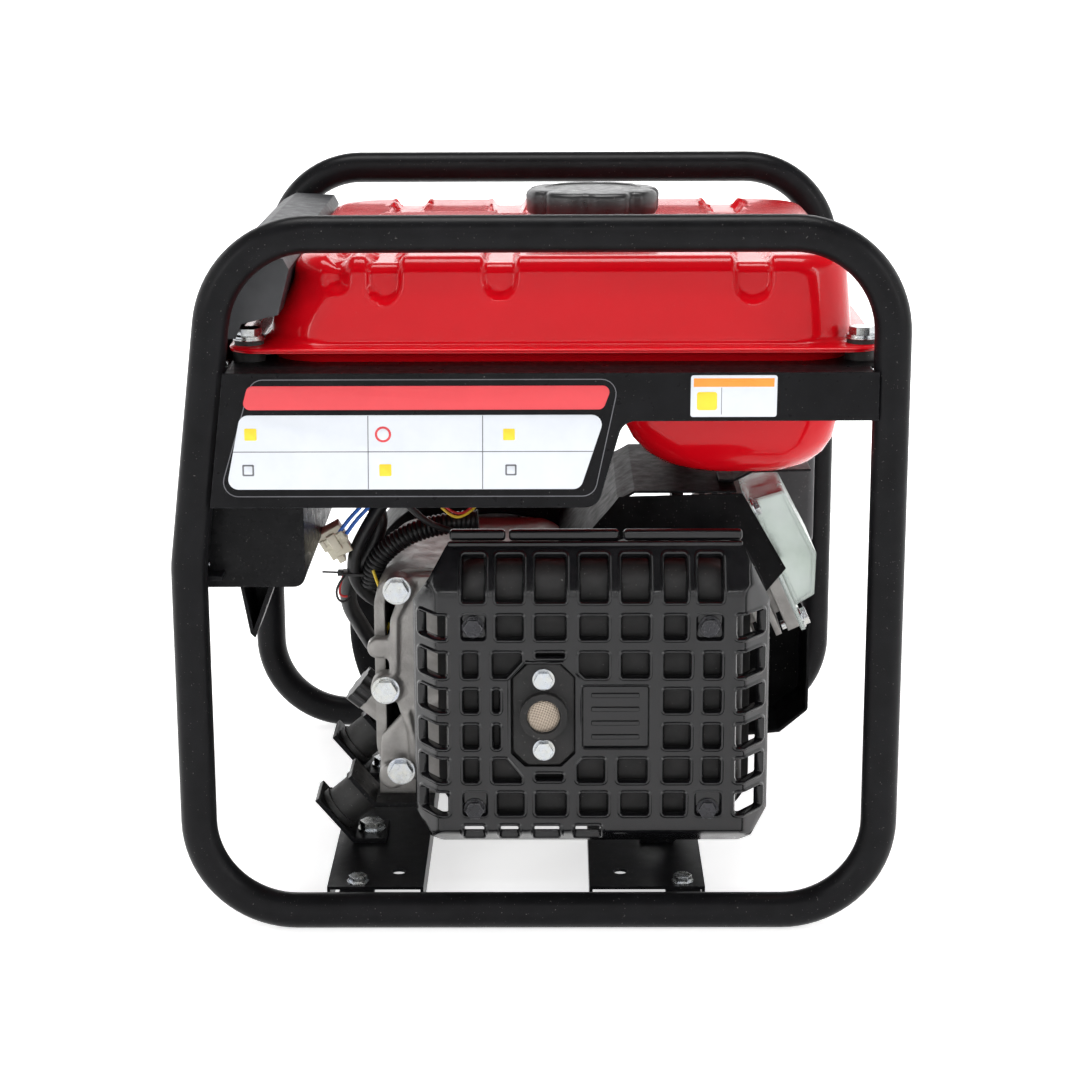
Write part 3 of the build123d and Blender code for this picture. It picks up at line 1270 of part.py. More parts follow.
with BuildPart() as fasteners:
    for planes, thread, shank in (
        (tank_bolt_planes, 8.0, tank_shank),
        (tab_bolt_planes, 6.0, tab_shank),
        (cover_bolt_planes, 8.0, cover_shank),
        (guard_bolt_planes, 6.0, guard_shank),
        (arrester_bolt_planes, 6.0, arrester_shank),
        (rocker_bolt_planes, 6.0, rocker_shank),
        (pad_bolt_planes, 8.0, pad_shank),
        (foot_bolt_planes, 8.0, foot_shank),
        (screw_planes, 4.0, screw_shank),
    ):
        for plane in planes:
            bolt = flange_bolt(thread, shank)
            with Locations(plane):
                add(bolt)
    for plane in tank_bolt_planes:
        spot = plane.origin
        peg(level(washer_top - 1.0, spot.X, spot.Y), 10.0, 1.0)
save(fasteners, "fasteners")
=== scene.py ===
import json
import math

import bmesh
import bpy
from mathutils import Matrix, Vector


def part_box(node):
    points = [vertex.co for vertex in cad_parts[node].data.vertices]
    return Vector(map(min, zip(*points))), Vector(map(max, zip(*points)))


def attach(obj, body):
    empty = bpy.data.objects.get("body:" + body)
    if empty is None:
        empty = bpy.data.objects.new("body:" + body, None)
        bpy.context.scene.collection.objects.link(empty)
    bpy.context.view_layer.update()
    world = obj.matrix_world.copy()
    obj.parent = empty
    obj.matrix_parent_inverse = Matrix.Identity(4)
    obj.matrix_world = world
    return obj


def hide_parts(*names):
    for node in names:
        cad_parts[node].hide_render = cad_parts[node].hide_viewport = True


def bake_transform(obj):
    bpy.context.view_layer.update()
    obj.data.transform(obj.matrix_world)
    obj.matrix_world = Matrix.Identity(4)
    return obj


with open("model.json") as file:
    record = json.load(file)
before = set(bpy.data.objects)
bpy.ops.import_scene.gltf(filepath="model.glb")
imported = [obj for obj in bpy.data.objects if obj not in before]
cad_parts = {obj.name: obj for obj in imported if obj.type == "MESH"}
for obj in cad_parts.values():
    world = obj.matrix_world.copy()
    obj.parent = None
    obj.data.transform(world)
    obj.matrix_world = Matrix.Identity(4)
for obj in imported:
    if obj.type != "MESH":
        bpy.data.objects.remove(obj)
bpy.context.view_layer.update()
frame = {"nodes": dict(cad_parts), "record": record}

nodes = frame["nodes"]
MM = 0.001


# ---------------------------------------------------------------- materials
class Shader:
    """A node material: small helpers round one principled shader."""

    def __init__(self, name):
        self.material = bpy.data.materials.new(name)
        self.material.use_nodes = True
        self.tree = self.material.node_tree
        self.principled = self.tree.nodes["Principled BSDF"]
        self.place = self.add("ShaderNodeTexCoord").outputs["Object"]

    def add(self, kind, **fields):
        node = self.tree.nodes.new(kind)
        for field, value in fields.items():
            setattr(node, field, value)
        return node

    def link(self, source, target):
        self.tree.links.new(source, target)

    def feed(self, socket, value):
        if isinstance(value, (int, float, tuple, list)):
            socket.default_value = value
        else:
            self.link(value, socket)

    def noise(self, scale, detail=3.0, rough=0.5, stretch=None):
        node = self.add("ShaderNodeTexNoise")
        node.inputs["Scale"].default_value = scale
        node.inputs["Detail"].default_value = detail
        node.inputs["Roughness"].default_value = rough
        where = self.place
        if stretch:
            mapping = self.add("ShaderNodeMapping")
            mapping.inputs["Scale"].default_value = stretch
            self.link(self.place, mapping.inputs["Vector"])
            where = mapping.outputs["Vector"]
        self.link(where, node.inputs["Vector"])
        return node.outputs["Fac"]

    def spread(self, value, low, high, to_low=0.0, to_high=1.0):
        node = self.add("ShaderNodeMapRange")
        node.inputs["From Min"].default_value = low
        node.inputs["From Max"].default_value = high
        node.inputs["To Min"].default_value = to_low
        node.inputs["To Max"].default_value = to_high
        self.link(value, node.inputs["Value"])
        return node.outputs["Result"]

    def math(self, operation, first, second=0.0):
        node = self.add("ShaderNodeMath", operation=operation)
        self.feed(node.inputs[0], first)
        self.feed(node.inputs[1], second)
        return node.outputs["Value"]

    def mix(self, factor, first, second):
        node = self.add("ShaderNodeMix", data_type="RGBA")
        self.feed(node.inputs["Factor"], factor)
        self.feed(node.inputs["A"], first)
        self.feed(node.inputs["B"], second)
        return node.outputs["Result"]

    def edges(self, radius):
        """A mask of convex and concave edges, from the rounded normal against the true one."""
        rounded = self.add("ShaderNodeBevel", samples=4)
        rounded.inputs["Radius"].default_value = radius
        true = self.add("ShaderNodeNewGeometry")
        dot = self.add("ShaderNodeVectorMath", operation="DOT_PRODUCT")
        self.link(rounded.outputs["Normal"], dot.inputs[0])
        self.link(true.outputs["Normal"], dot.inputs[1])
        return self.spread(dot.outputs["Value"], 0.999, 0.93), rounded.outputs["Normal"]

    def bumps(self, layers, base=None):
        """Each layer is (height, strength, distance in metres)."""
        normal = base
        for height, strength, distance in layers:
            bump = self.add("ShaderNodeBump")
            bump.inputs["Strength"].default_value = strength
            bump.inputs["Distance"].default_value = distance
            self.link(height, bump.inputs["Height"])
            if normal is not None:
                self.link(normal, bump.inputs["Normal"])
            normal = bump.outputs["Normal"]
        if normal is not None:
            self.link(normal, self.principled.inputs["Normal"])
        return normal


def surface(name, color, rough, metal=0.0, tint=None, vary=60.0, grain=900.0, grain_depth=0.00004,
            grain_strength=0.3,
            rough_spread=0.08, edge_wear_and_highlight=0.0, edge_wear_and_highlight_color=None, edge=0.0, coat=0.0, coat_rough=0.05, wave=0.0,
            specular=0.5,
            dust=0.0, stretch=None, ior=1.5):
    """A procedural finish: mottled colour, uneven roughness, fine grain, edges painted lighter as worn
    paint and as a painted highlight, and a little dust.
    """
    s = Shader(name)
    p = s.principled
    tint = tint or tuple(min(1.0, c * 1.35 + 0.004) for c in color)
    shade = s.mix(s.spread(s.noise(vary, 4.0, 0.6, stretch), 0.3, 0.7), (*color, 1.0), (*tint, 1.0))
    roughness = s.spread(s.noise(vary * 2.3, 3.0, 0.6, stretch), 0.3, 0.7, rough - rough_spread,
                         rough + rough_spread)
    normal = None
    if edge:
        mask, normal = s.edges(edge)
        if edge_wear_and_highlight:
            # edges are painted lighter and a little rougher: partly worn paint, partly a painted highlight
            # along the edges
            rubbed_and_highlit_edges = s.math("MULTIPLY", mask, s.spread(s.noise(240.0, 4.0, 0.7), 0.42, 0.62))
            rubbed_and_highlit_edges = s.math("MULTIPLY", rubbed_and_highlit_edges, edge_wear_and_highlight)
            shade = s.mix(rubbed_and_highlit_edges, shade, (*(edge_wear_and_highlight_color or tint), 1.0))
            roughness = s.math("ADD", roughness, s.math("MULTIPLY", rubbed_and_highlit_edges, 0.12))
    if dust:
        specks = s.spread(s.noise(700.0, 2.0, 0.5), 0.70, 0.76, 0.0, dust)
        shade = s.mix(specks, shade, (0.35, 0.34, 0.32, 1.0))
    s.link(shade, p.inputs["Base Color"])
    s.link(roughness, p.inputs["Roughness"])
    p.inputs["Metallic"].default_value = metal
    p.inputs["Coat Weight"].default_value = coat
    p.inputs["Coat Roughness"].default_value = coat_rough
    p.inputs["Specular IOR Level"].default_value = specular
    p.inputs["IOR"].default_value = ior
    layers = [(s.noise(grain, 2.0, 0.55, stretch), grain_strength, grain_depth)]
    if wave:
        layers.insert(0, (s.noise(38.0, 2.0, 0.4), 0.5, wave))
    s.bumps(layers, normal)
    return s.material


black = (0.005, 0.005, 0.0055)
M = {
    "frame_paint": surface("frame_powder_coat", black, 0.33, tint=(0.008, 0.008, 0.009), grain=1500.0,
                           grain_depth=0.00003, grain_strength=0.35, dust=0.25, rough_spread=0.05,
                           wave=0.0002,
                           specular=0.1),
    "bracket_paint": surface("bracket_powder_coat", (0.004, 0.004, 0.0045), 0.34, tint=(0.007, 0.007,
    0.008), grain=1300.0,
                             specular=0.1,
                             edge=0.0012, edge_wear_and_highlight=0.5, edge_wear_and_highlight_color=(0.05, 0.05, 0.055), dust=0.3, wave=0.0002),
    "guard_paint": surface("guard_enamel", (0.003, 0.003, 0.0035), 0.2, tint=(0.006, 0.006, 0.007),
    grain=700.0, specular=0.42,
                           grain_depth=0.00005, rough_spread=0.06, wave=0.0003),
    "muffler_paint": surface("muffler_heat_paint", (0.010, 0.010, 0.010), 0.6, tint=(0.016, 0.015, 0.015),
    grain=1100.0, specular=0.3,
                             edge=0.0012, edge_wear_and_highlight=0.4, edge_wear_and_highlight_color=(0.07, 0.065, 0.06), dust=0.3),
    "shroud_paint": surface("shroud_paint", (0.006, 0.006, 0.0065), 0.42, grain=1200.0, specular=0.12,
    ior=1.2, edge=0.001, edge_wear_and_highlight=0.25,
                            edge_wear_and_highlight_color=(0.03, 0.03, 0.032), dust=0.3, wave=0.0002),
    "tank_red": surface("tank_enamel", (0.56, 0.001, 0.006), 0.22, tint=(0.60, 0.002, 0.008), vary=18.0,
                        grain=420.0,
                        grain_depth=0.00003, grain_strength=0.2, rough_spread=0.03, coat=0.3,
                        coat_rough=0.03,
                        wave=0.0003, dust=0.04, specular=0.12),
    "cap_plastic": surface("cap_moulding", (0.008, 0.008, 0.0085), 0.34, tint=(0.012, 0.012, 0.0125),
    grain=1600.0,
                           edge=0.0008, edge_wear_and_highlight=0.4, edge_wear_and_highlight_color=(0.05, 0.05, 0.052), dust=0.3),
    "hood_plastic": surface("hood_grained_plastic", (0.030, 0.031, 0.034), 0.50, tint=(0.040, 0.041, 0.045),
    grain=1500.0,
                            grain_depth=0.00012, grain_strength=0.7, edge=0.001, edge_wear_and_highlight=0.4, edge_wear_and_highlight_color=(0.12,
                            0.12, 0.13)),
    "box_gloss": surface("box_gloss_plastic", (0.004, 0.004, 0.0045), 0.3, specular=0.3, ior=1.25,
                         grain=900.0, grain_depth=0.00002,
                         edge=0.0012, edge_wear_and_highlight=0.4, edge_wear_and_highlight_color=(0.05, 0.05, 0.055), dust=0.2, wave=0.0003),
    "panel_plastic": surface("panel_grained_plastic", (0.024, 0.024, 0.026), 0.48, grain=1400.0,
    grain_depth=0.0001,
                             grain_strength=0.6, edge=0.0008, edge_wear_and_highlight=0.4, edge_wear_and_highlight_color=(0.08, 0.08, 0.085)),
    "socket_plastic": surface("socket_plastic", (0.015, 0.015, 0.016), 0.34, grain=1500.0, edge=0.0006,
    edge_wear_and_highlight=0.4,
                              edge_wear_and_highlight_color=(0.06, 0.06, 0.06)),
    "switch_red": surface("switch_red_plastic", (0.50, 0.012, 0.012), 0.32, tint=(0.56, 0.02, 0.016),
                          grain=1200.0,
                          edge=0.0006, edge_wear_and_highlight=0.3, edge_wear_and_highlight_color=(0.6, 0.12, 0.10)),
    "cast_alloy": surface("sand_cast_alloy", (0.25, 0.24, 0.23), 0.50, metal=0.85, tint=(0.34, 0.33, 0.315),
                          vary=45.0,
                          grain=620.0, grain_depth=0.00035, grain_strength=0.75, rough_spread=0.12,
                          edge=0.0015,
                          edge_wear_and_highlight=0.5, edge_wear_and_highlight_color=(0.50, 0.49, 0.47)),
    "rocker_zinc": surface("zinc_rocker_pressing", (0.40, 0.43, 0.42), 0.22, metal=1.0, tint=(0.34, 0.39,
    0.35), vary=25.0,
                           grain=500.0, grain_depth=0.00004, rough_spread=0.08, edge=0.0045, wave=0.0006),
    "zinc_bolt": surface("bright_zinc_bolt", (0.44, 0.47, 0.52), 0.24, metal=1.0, tint=(0.48, 0.48, 0.44),
                         vary=120.0,
                         grain=1500.0, grain_depth=0.00004, rough_spread=0.09, edge=0.0005, edge_wear_and_highlight=0.4,
                         edge_wear_and_highlight_color=(0.85, 0.86, 0.88)),
    "black_bolt": surface("black_oxide_bolt", (0.02, 0.02, 0.022), 0.28, metal=0.6, tint=(0.035, 0.035,
    0.04),
                          grain=1500.0, edge=0.0006, edge_wear_and_highlight=0.6, edge_wear_and_highlight_color=(0.35, 0.35, 0.36)),
    "steel": surface("machined_steel", (0.36, 0.36, 0.37), 0.34, metal=1.0, tint=(0.44, 0.43, 0.42),
                     vary=60.0,
                     grain=900.0, stretch=(1.0, 12.0, 1.0), edge=0.0006),
    "cleaner_plastic": surface("cleaner_moulding", (0.022, 0.022, 0.024), 0.45, grain=1200.0,
    grain_depth=0.00008,
                               edge=0.001, edge_wear_and_highlight=0.4, edge_wear_and_highlight_color=(0.08, 0.08, 0.085), dust=0.3),
    "foam": surface("filter_foam", (0.07, 0.07, 0.07), 0.9, grain=900.0, grain_depth=0.0006,
                    grain_strength=1.0),
    "rubber": surface("black_rubber", (0.014, 0.014, 0.014), 0.62, tint=(0.022, 0.021, 0.02), grain=1000.0,
                      grain_depth=0.00008, dust=0.3),
    "cord": surface("starter_cord", (0.025, 0.025, 0.027), 0.8, grain=1800.0, grain_depth=0.0003,
                    grain_strength=0.9),
    "loom_plastic": surface("loom_plastic", (0.006, 0.006, 0.0065), 0.38, grain=900.0, dust=0.2,
    specular=0.35),
    "copper": surface("winding_copper", (0.55, 0.20, 0.07), 0.35, metal=1.0, grain=1500.0,
                      grain_depth=0.0002),
    "label_white": surface("label_white_vinyl", (0.62, 0.65, 0.70), 0.38, tint=(0.66, 0.69, 0.73),
    grain=1500.0,
                           grain_depth=0.00002, coat=0.3, coat_rough=0.2, rough_spread=0.04),
    "label_red": surface("label_red_vinyl", (0.62, 0.03, 0.04), 0.38, tint=(0.66, 0.035, 0.045),
                         grain=1500.0,
                         grain_depth=0.00002, coat=0.3, coat_rough=0.2, rough_spread=0.04),
    "label_yellow": surface("label_yellow_vinyl", (0.85, 0.60, 0.02), 0.4, tint=(0.88, 0.64, 0.03),
    grain=1500.0,
                            grain_depth=0.00002, rough_spread=0.04),
    "label_orange": surface("label_orange_vinyl", (0.85, 0.26, 0.02), 0.4, tint=(0.88, 0.29, 0.03),
    grain=1500.0,
                            grain_depth=0.00002, rough_spread=0.04),
    "label_line": surface("label_grey_ink", (0.10, 0.10, 0.11), 0.45, grain=1500.0, grain_depth=0.00002),
    "connector": surface("ivory_nylon", (0.62, 0.58, 0.46), 0.42, tint=(0.68, 0.64, 0.52), grain=900.0,
                         edge=0.0006),
    "wire_blue": surface("blue_wire", (0.02, 0.12, 0.50), 0.4, grain=900.0),
    "wire_yellow": surface("yellow_wire", (0.70, 0.50, 0.03), 0.4, grain=900.0),
    "wire_red": surface("red_wire", (0.45, 0.02, 0.02), 0.4, grain=900.0),
}


def lamp_material():
    """A glossy green lens with a clear coat."""
    s = Shader("lamp_lens")
    p = s.principled
    shade = s.mix(s.spread(s.noise(300.0), 0.3, 0.7), (0.05, 0.42, 0.08, 1.0), (0.08, 0.55, 0.12, 1.0))
    s.link(shade, p.inputs["Base Color"])
    p.inputs["Roughness"].default_value = 0.08
    p.inputs["Coat Weight"].default_value = 0.6
    s.bumps([(s.noise(900.0), 0.2, 0.00003)])
    return s.material


def mesh_screen():
    """Woven stainless wire: two crossing waves of fine wire, with painted shade in the gaps between them.
    """
    s = Shader("arrester_wire_screen")
    p = s.principled
    mapping = s.add("ShaderNodeMapping")
    mapping.inputs["Rotation"].default_value = (0.0, math.radians(12), 0.0)
    s.link(s.place, mapping.inputs["Vector"])
    heights = []
    for axis in ("X", "Z"):
        wave = s.add("ShaderNodeTexWave", bands_direction=axis, wave_profile="SIN")
        wave.inputs["Scale"].default_value = 320.0
        wave.inputs["Distortion"].default_value = 0.35
        wave.inputs["Detail"].default_value = 1.0
        s.link(mapping.outputs["Vector"], wave.inputs["Vector"])
        heights.append(wave.outputs["Fac"])
    wires = s.math("MAXIMUM", heights[0], heights[1])
    # the gaps between the wires are painted near black as painted shade of the openings; the wire tops get
    # the metal colour
    shade = s.mix(s.spread(wires, 0.45, 0.85), (0.03, 0.025, 0.02, 1.0), (0.62, 0.52, 0.42, 1.0))
    s.link(shade, p.inputs["Base Color"])
    p.inputs["Metallic"].default_value = 0.9
    s.link(s.spread(wires, 0.4, 0.9, 0.7, 0.28), p.inputs["Roughness"])
    s.bumps([(wires, 0.9, 0.0004)])
    return s.material


M["lamp"] = lamp_material()
M["screen"] = mesh_screen()

slots = {row["node"]: row["material_slot"] for row in frame["record"]["subparts"]}
OWN_FINISH = {"side_plate_front": "bracket_paint", "side_plate_rear": "bracket_paint",
              "heat_shield": "bracket_paint", "rocker_cover": "rocker_zinc"}
for node, cad_object in nodes.items():
    cad_object.data.materials.clear()
    cad_object.data.materials.append(M[OWN_FINISH.get(node, slots[node])])


# ---------------------------------------------------------------- mesh helpers
def piece(name, mesh_or_bm, material, body="root", angle=35.0, replaces=()):
    """A mesh object in the shared frame that rides on a body."""
    if isinstance(mesh_or_bm, bmesh.types.BMesh):
        mesh = bpy.data.meshes.new(name)
        mesh_or_bm.to_mesh(mesh)
        mesh_or_bm.free()
    else:
        mesh = mesh_or_bm
    mesh.materials.append(M[material])
    for face in mesh.polygons:
        face.use_smooth = True
    mesh.set_sharp_from_angle(angle=math.radians(angle))
    obj = bpy.data.objects.new(name, mesh)
    bpy.context.scene.collection.objects.link(obj)
    if body:
        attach(obj, body)
    if replaces:
        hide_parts(*replaces)
    return obj


# ---------------------------------------------------------------- outlines and sheets
def contour(points, radius, steps=4):
    """A rounded closed outline as (place, outward normal) pairs. The points run anticlockwise."""
    found = []
    corners = [Vector(p) for p in points]
    for i, here in enumerate(corners):
        a, b = corners[i - 1] - here, corners[(i + 1) % len(corners)] - here
        half = a.angle(b) / 2
        reach = min(radius / math.tan(half), 0.45 * min(a.length, b.length))
        r = reach * math.tan(half)
        centre = here + (a.normalized() + b.normalized()).normalized() * (r / math.sin(half))
        start = here + a.normalized() * reach - centre
        turn = math.pi - 2 * half
        for k in range(steps + 1):
            arm = Matrix.Rotation(turn * k / steps, 2) @ start
            found.append((centre + arm, arm.normalized()))
    return found


def box_outline(x0, x1, z0, z1):
    return [(x0, z0), (x1, z0), (x1, z1), (x0, z1)]


def smooth(value):
    value = max(0.0, min(1.0, value))
    return value * value * (3 - 2 * value)


def rings_mesh(bm, rings, close_last=False):
    """Quads between loops of the same length."""
    loops = [[bm.verts.new(p) for p in ring] for ring in rings]
    for low, high in zip(loops, loops[1:]):
        for k in range(len(low)):
            j = (k + 1) % len(low)
            bm.faces.new((low[k], low[j], high[j], high[k]))
    if close_last:
        bm.faces.new(loops[-1])
    return loops


def scaled(bm):
    bmesh.ops.recalc_face_normals(bm, faces=bm.faces)
    bmesh.ops.scale(bm, vec=(MM, MM, MM), verts=bm.verts)
    return bm


# ---------------------------------------------------------------- muffler guard
GUARD_Y = -188.0
BEND_LEFT, BEND_RIGHT, BEND_LOW, BEND_HIGH = -62.7, 127.6, 57.0, 212.3
SLOPES = ((BEND_LEFT, -1, 0, 23.0 / 15.8), (BEND_RIGHT, 1, 0, 23.0 / 17.4), (BEND_LOW, -1, 1, 23.0 / 13.5),
          (BEND_HIGH, 1, 1, 20.0 / 27.7))
BEND_SOFT = 2.4
RIM = ((1.2, 0.0), (0.8, 0.0), (0.4, 0.25), (-0.1, 0.8), (-0.7, 1.05), (-1.2, 0.8), (-1.6, 0.1), (-1.9,
        -1.2), (-2.5, -4.2))
CUP = ((1.2, 0.0), (0.8, 0.0), (0.4, 0.2), (-0.1, 0.55), (-0.6, 0.45), (-1.0, -0.3), (-1.4, -2.6), (-1.9,
        -3.85),
       (-2.6, -4.05))
PANEL = ((1.2, 0.0), (0.8, 0.0), (0.4, 0.2), (-0.1, 0.6), (-0.6, 0.4), (-1.1, -0.7), (-1.6, -1.4), (-2.2,
        -1.6))


def guard_depth(u, v):
    deepest = 0.0
    for bend, side, axis, slope in SLOPES:
        t = ((u, v)[axis] - bend) * side
        if t > BEND_SOFT:
            d = t * slope
        elif t > -BEND_SOFT:
            d = (t + BEND_SOFT) ** 2 / (4 * BEND_SOFT) * slope
        else:
            d = 0.0
        deepest = max(deepest, d)
    return deepest


def guard_place(u, v, height):
    step = 0.6
    nx = (guard_depth(u + step, v) - guard_depth(u - step, v)) / (2 * step)
    nz = (guard_depth(u, v + step) - guard_depth(u, v - step)) / (2 * step)
    normal = Vector((nx, -1.0, nz)).normalized()
    return Vector((u, GUARD_Y + guard_depth(u, v), v)) + normal * height


COLUMNS = ((-48.5, -31.0), (-27.5, -7.5), (-3.5, 19.0), (24.3, 45.0), (50.0, 70.6), (76.3, 93.5), (97.0,
        115.5))
ROWS = ((67.3, 84.8), (89.0, 107.2), (111.2, 129.6), (134.8, 152.6), (157.4, 176.2), (182.0, 200.2))


def guard_holes():
    """(outline, corner radius, profile, floor) of every pressed window, pocket and panel."""
    open_rim, holes = (RIM, False), []

    def window(points, radius=3.4, form=open_rim):
        holes.append((points, radius, *form))

    for x0, x1 in COLUMNS:
        window(box_outline(x0, x1, 205.6, 235.5))
        for z0, z1 in (ROWS[0], ROWS[5]):
            if x0 < -40 or x1 > 110:
                window(box_outline(x0, x1, z0, z1), 3.5, (CUP, True))
            else:
                window(box_outline(x0, x1, z0, z1))
    for z0, z1 in ROWS:
        window(box_outline(-75.5, -54.5, z0, z1))
        window(box_outline(120.9, 142.0, z0, z1))
    for z0, z1 in ROWS[1:5]:
        window(box_outline(101.0, 115.2, z0, z1))
        window(box_outline(76.3, 96.3, z0, z1))
        window(box_outline(-48.5, -35.5, z0, z1))
    for z0, z1 in ROWS[2:4]:
        window(box_outline(-30.0, -22.2, z0, z1))
    low, high = ROWS[1], ROWS[4]
    window([(-30.2, low[0]), (-9.0, low[0]), (-9.0, low[0] + 5.0), (-19.5, low[1]), (-30.2, low[1])])
    window([(-30.0, high[0]), (-18.8, high[0]), (-8.6, high[1] - 7.5), (-8.6, high[1]), (-30.0, high[1])])
    window([(22.6, low[0]), (43.0, low[0]), (43.0, low[1]), (27.5, low[1]), (22.6, low[1] - 5.0)])
    window([(28.6, high[0]), (45.2, high[0]), (45.2, high[1]), (24.0, high[1]), (24.0, high[0] + 4.5)])
    window(box_outline(48.0, 69.5, *low))
    window(box_outline(50.0, 70.6, *high))
    window(box_outline(-3.5, 17.0, 90.2, 97.4))
    window(box_outline(-3.0, 18.0, 170.4, 176.4))
    window(box_outline(26.6, 69.6, 112.4, 154.2), 2.6, (PANEL, True))
    cut = 8.5
    window([(-17.0 + cut, 101.0), (23.0 - cut, 101.0), (23.0, 101.0 + cut), (23.0, 167.8 - cut),
            (23.0 - cut, 167.8),
            (-17.0 + cut, 167.8), (-17.0, 167.8 - cut), (-17.0, 101.0 + cut)], 2.0,
           (((2.0, 0.0), (1.4, 0.0), (0.8, 0.2), (0.2, 0.1), (-0.2, -0.6), (-0.3, -1.6)), False))
    for x0, x1 in ((-49.0, -32.2), (-26.2, -10.6), (-5.0, 15.2), (20.8, 41.0)):
        window(box_outline(x0, x1, 48.5, 63.0))
    return holes


def muffler_guard():
    bm = bmesh.new()
    edge = contour([(-62.0, 43.6), (127.0, 43.6), (144.8, 66.0), (144.8, 203.0), (127.0, 240.0), (-56.0,
            240.0),
                    (-78.3, 203.0), (-78.3, 66.0)], 4.0)
    outer = [bm.verts.new((p.x, p.y, 0.0)) for p, _ in edge]
    loops = [outer]
    for points, radius, profile, floored in guard_holes():
        outline = contour(points, radius)
        tightest = min((outline[k][0] - outline[k + 1][0]).length for k in range(4)) / (math.pi / 8) * 0.9
        rings = [[bm.verts.new((*(p + n * max(d, -tightest)), h)) for p, n in outline] for d, h in profile]
        for low, high in zip(rings, rings[1:]):
            for k in range(len(low)):
                j = (k + 1) % len(low)
                bm.faces.new((low[k], low[j], high[j], high[k]))
        if floored:
            bm.faces.new(rings[-1])
        loops.append(rings[0])
    edges = []
    for loop in loops:
        for k in range(len(loop)):
            pair = (loop[k], loop[(k + 1) % len(loop)])
            edges.append(bm.edges.get(pair) or bm.edges.new(pair))
    bmesh.ops.triangle_fill(bm, use_beauty=True, use_dissolve=False, edges=edges)
    for bend, _, axis, _ in SLOPES:
        for offset in (-4.5, -BEND_SOFT, -0.9, 0.9, BEND_SOFT, 4.5):
            place, normal = [0.0, 0.0, 0.0], [0.0, 0.0, 0.0]
            place[axis], normal[axis] = bend + offset, 1.0
            bmesh.ops.bisect_plane(bm, geom=bm.verts[:] + bm.edges[:] + bm.faces[:], plane_co=place,
                    plane_no=normal)
    for vert in bm.verts:
        vert.co = guard_place(*vert.co)
    bmesh.ops.recalc_face_normals(bm, faces=bm.faces)
    front = [f for f in bm.faces if f.normal.y > 0.9]
    if len(front) > len(bm.faces) / 4:
        bmesh.ops.reverse_faces(bm, faces=bm.faces)
    bmesh.ops.scale(bm, vec=(MM, MM, MM), verts=bm.verts)
    obj = piece("guard_pressing", bm, "guard_paint", angle=50.0, replaces=("muffler_guard",))
    thick = obj.modifiers.new("thickness", "SOLIDIFY")
    thick.thickness = 0.0011
    thick.offset = -1.0
    weighted = obj.modifiers.new("even_shading", "WEIGHTED_NORMAL")
    weighted.keep_sharp = True


def bead(name, x0, x1, y0, y1, z0, z1, radius, material, steps=5, body="root"):
    """A rounded bar along X, domed at its ends."""
    bm = bmesh.new()
    profile = contour(box_outline(y0, y1, z0, z1), radius, steps)
    rings = []
    for k in range(steps + 1):
        a = math.pi / 2 * k / steps
        rings.append([(x0 + radius * (1 - math.cos(a)), *(p - n * radius * 0.92 * (1 - math.sin(a)))[:])
                      for p, n in profile])
    for k in range(steps + 1):
        a = math.pi / 2 * (1 - k / steps)
        rings.append([(x1 - radius * (1 - math.cos(a)), *(p - n * radius * 0.92 * (1 - math.sin(a)))[:])
                      for p, n in profile])
    loops = rings_mesh(bm, rings)
    bm.faces.new(loops[0])
    bm.faces.new(loops[-1])
    return piece(name, scaled(bm), material, body=body)


def strip(name, points, width, thick, material, across=(0.0, 1.0, 0.0), body="root"):
    """A bent flat strip through points, its width along one direction."""
    bm = bmesh.new()
    line = [Vector(p) for p in points]
    side = Vector(across).normalized() * width / 2
    rings = []
    for i, here in enumerate(line):
        ahead = line[min(i + 1, len(line) - 1)] - line[max(i - 1, 0)]
        up = ahead.cross(side).normalized() * thick / 2
        rings.append([here - side - up, here + side - up, here + side + up, here - side + up])
    loops = rings_mesh(bm, rings)
    bm.faces.new(loops[0])
    bm.faces.new(loops[-1])
    obj = piece(name, scaled(bm), material, body=body)
    soften = obj.modifiers.new("soft_edge", "BEVEL")
    soften.width = thick * 0.3 * MM
    soften.segments = 2
    return obj


muffler_guard()
for number, (x0, x1) in enumerate(((-55.0, -20.0), (-18.0, 50.5), (53.0, 127.0)), 1):
    bead(f"guard_ridge_{number}", x0, x1, -166.0, -159.5, 240.4, 247.6, 2.6, "guard_paint")
bead("guard_top_hem", -56.0, 127.0, -170.0, -166.0, 237.6, 241.2, 1.6, "guard_paint")
for number, z in enumerate((120.0, 129.0, 138.0, 147.0), 1):
    bead(f"guard_panel_rib_{number}", 33.0, 63.0, -187.6, -185.4, z - 1.6, z + 1.6, 1.0, "guard_paint")
strip("guard_corner_brace", [(121.0, -165.0, 242.0), (129.0, -162.0, 231.0), (137.5, -158.5, 214.0), (140.5,
        -157.0, 205.0)],
      1.4, 5.0, "shroud_paint")


# ---------------------------------------------------------------- fuel tank
TANK_COUNTS = (150, 70, 14)


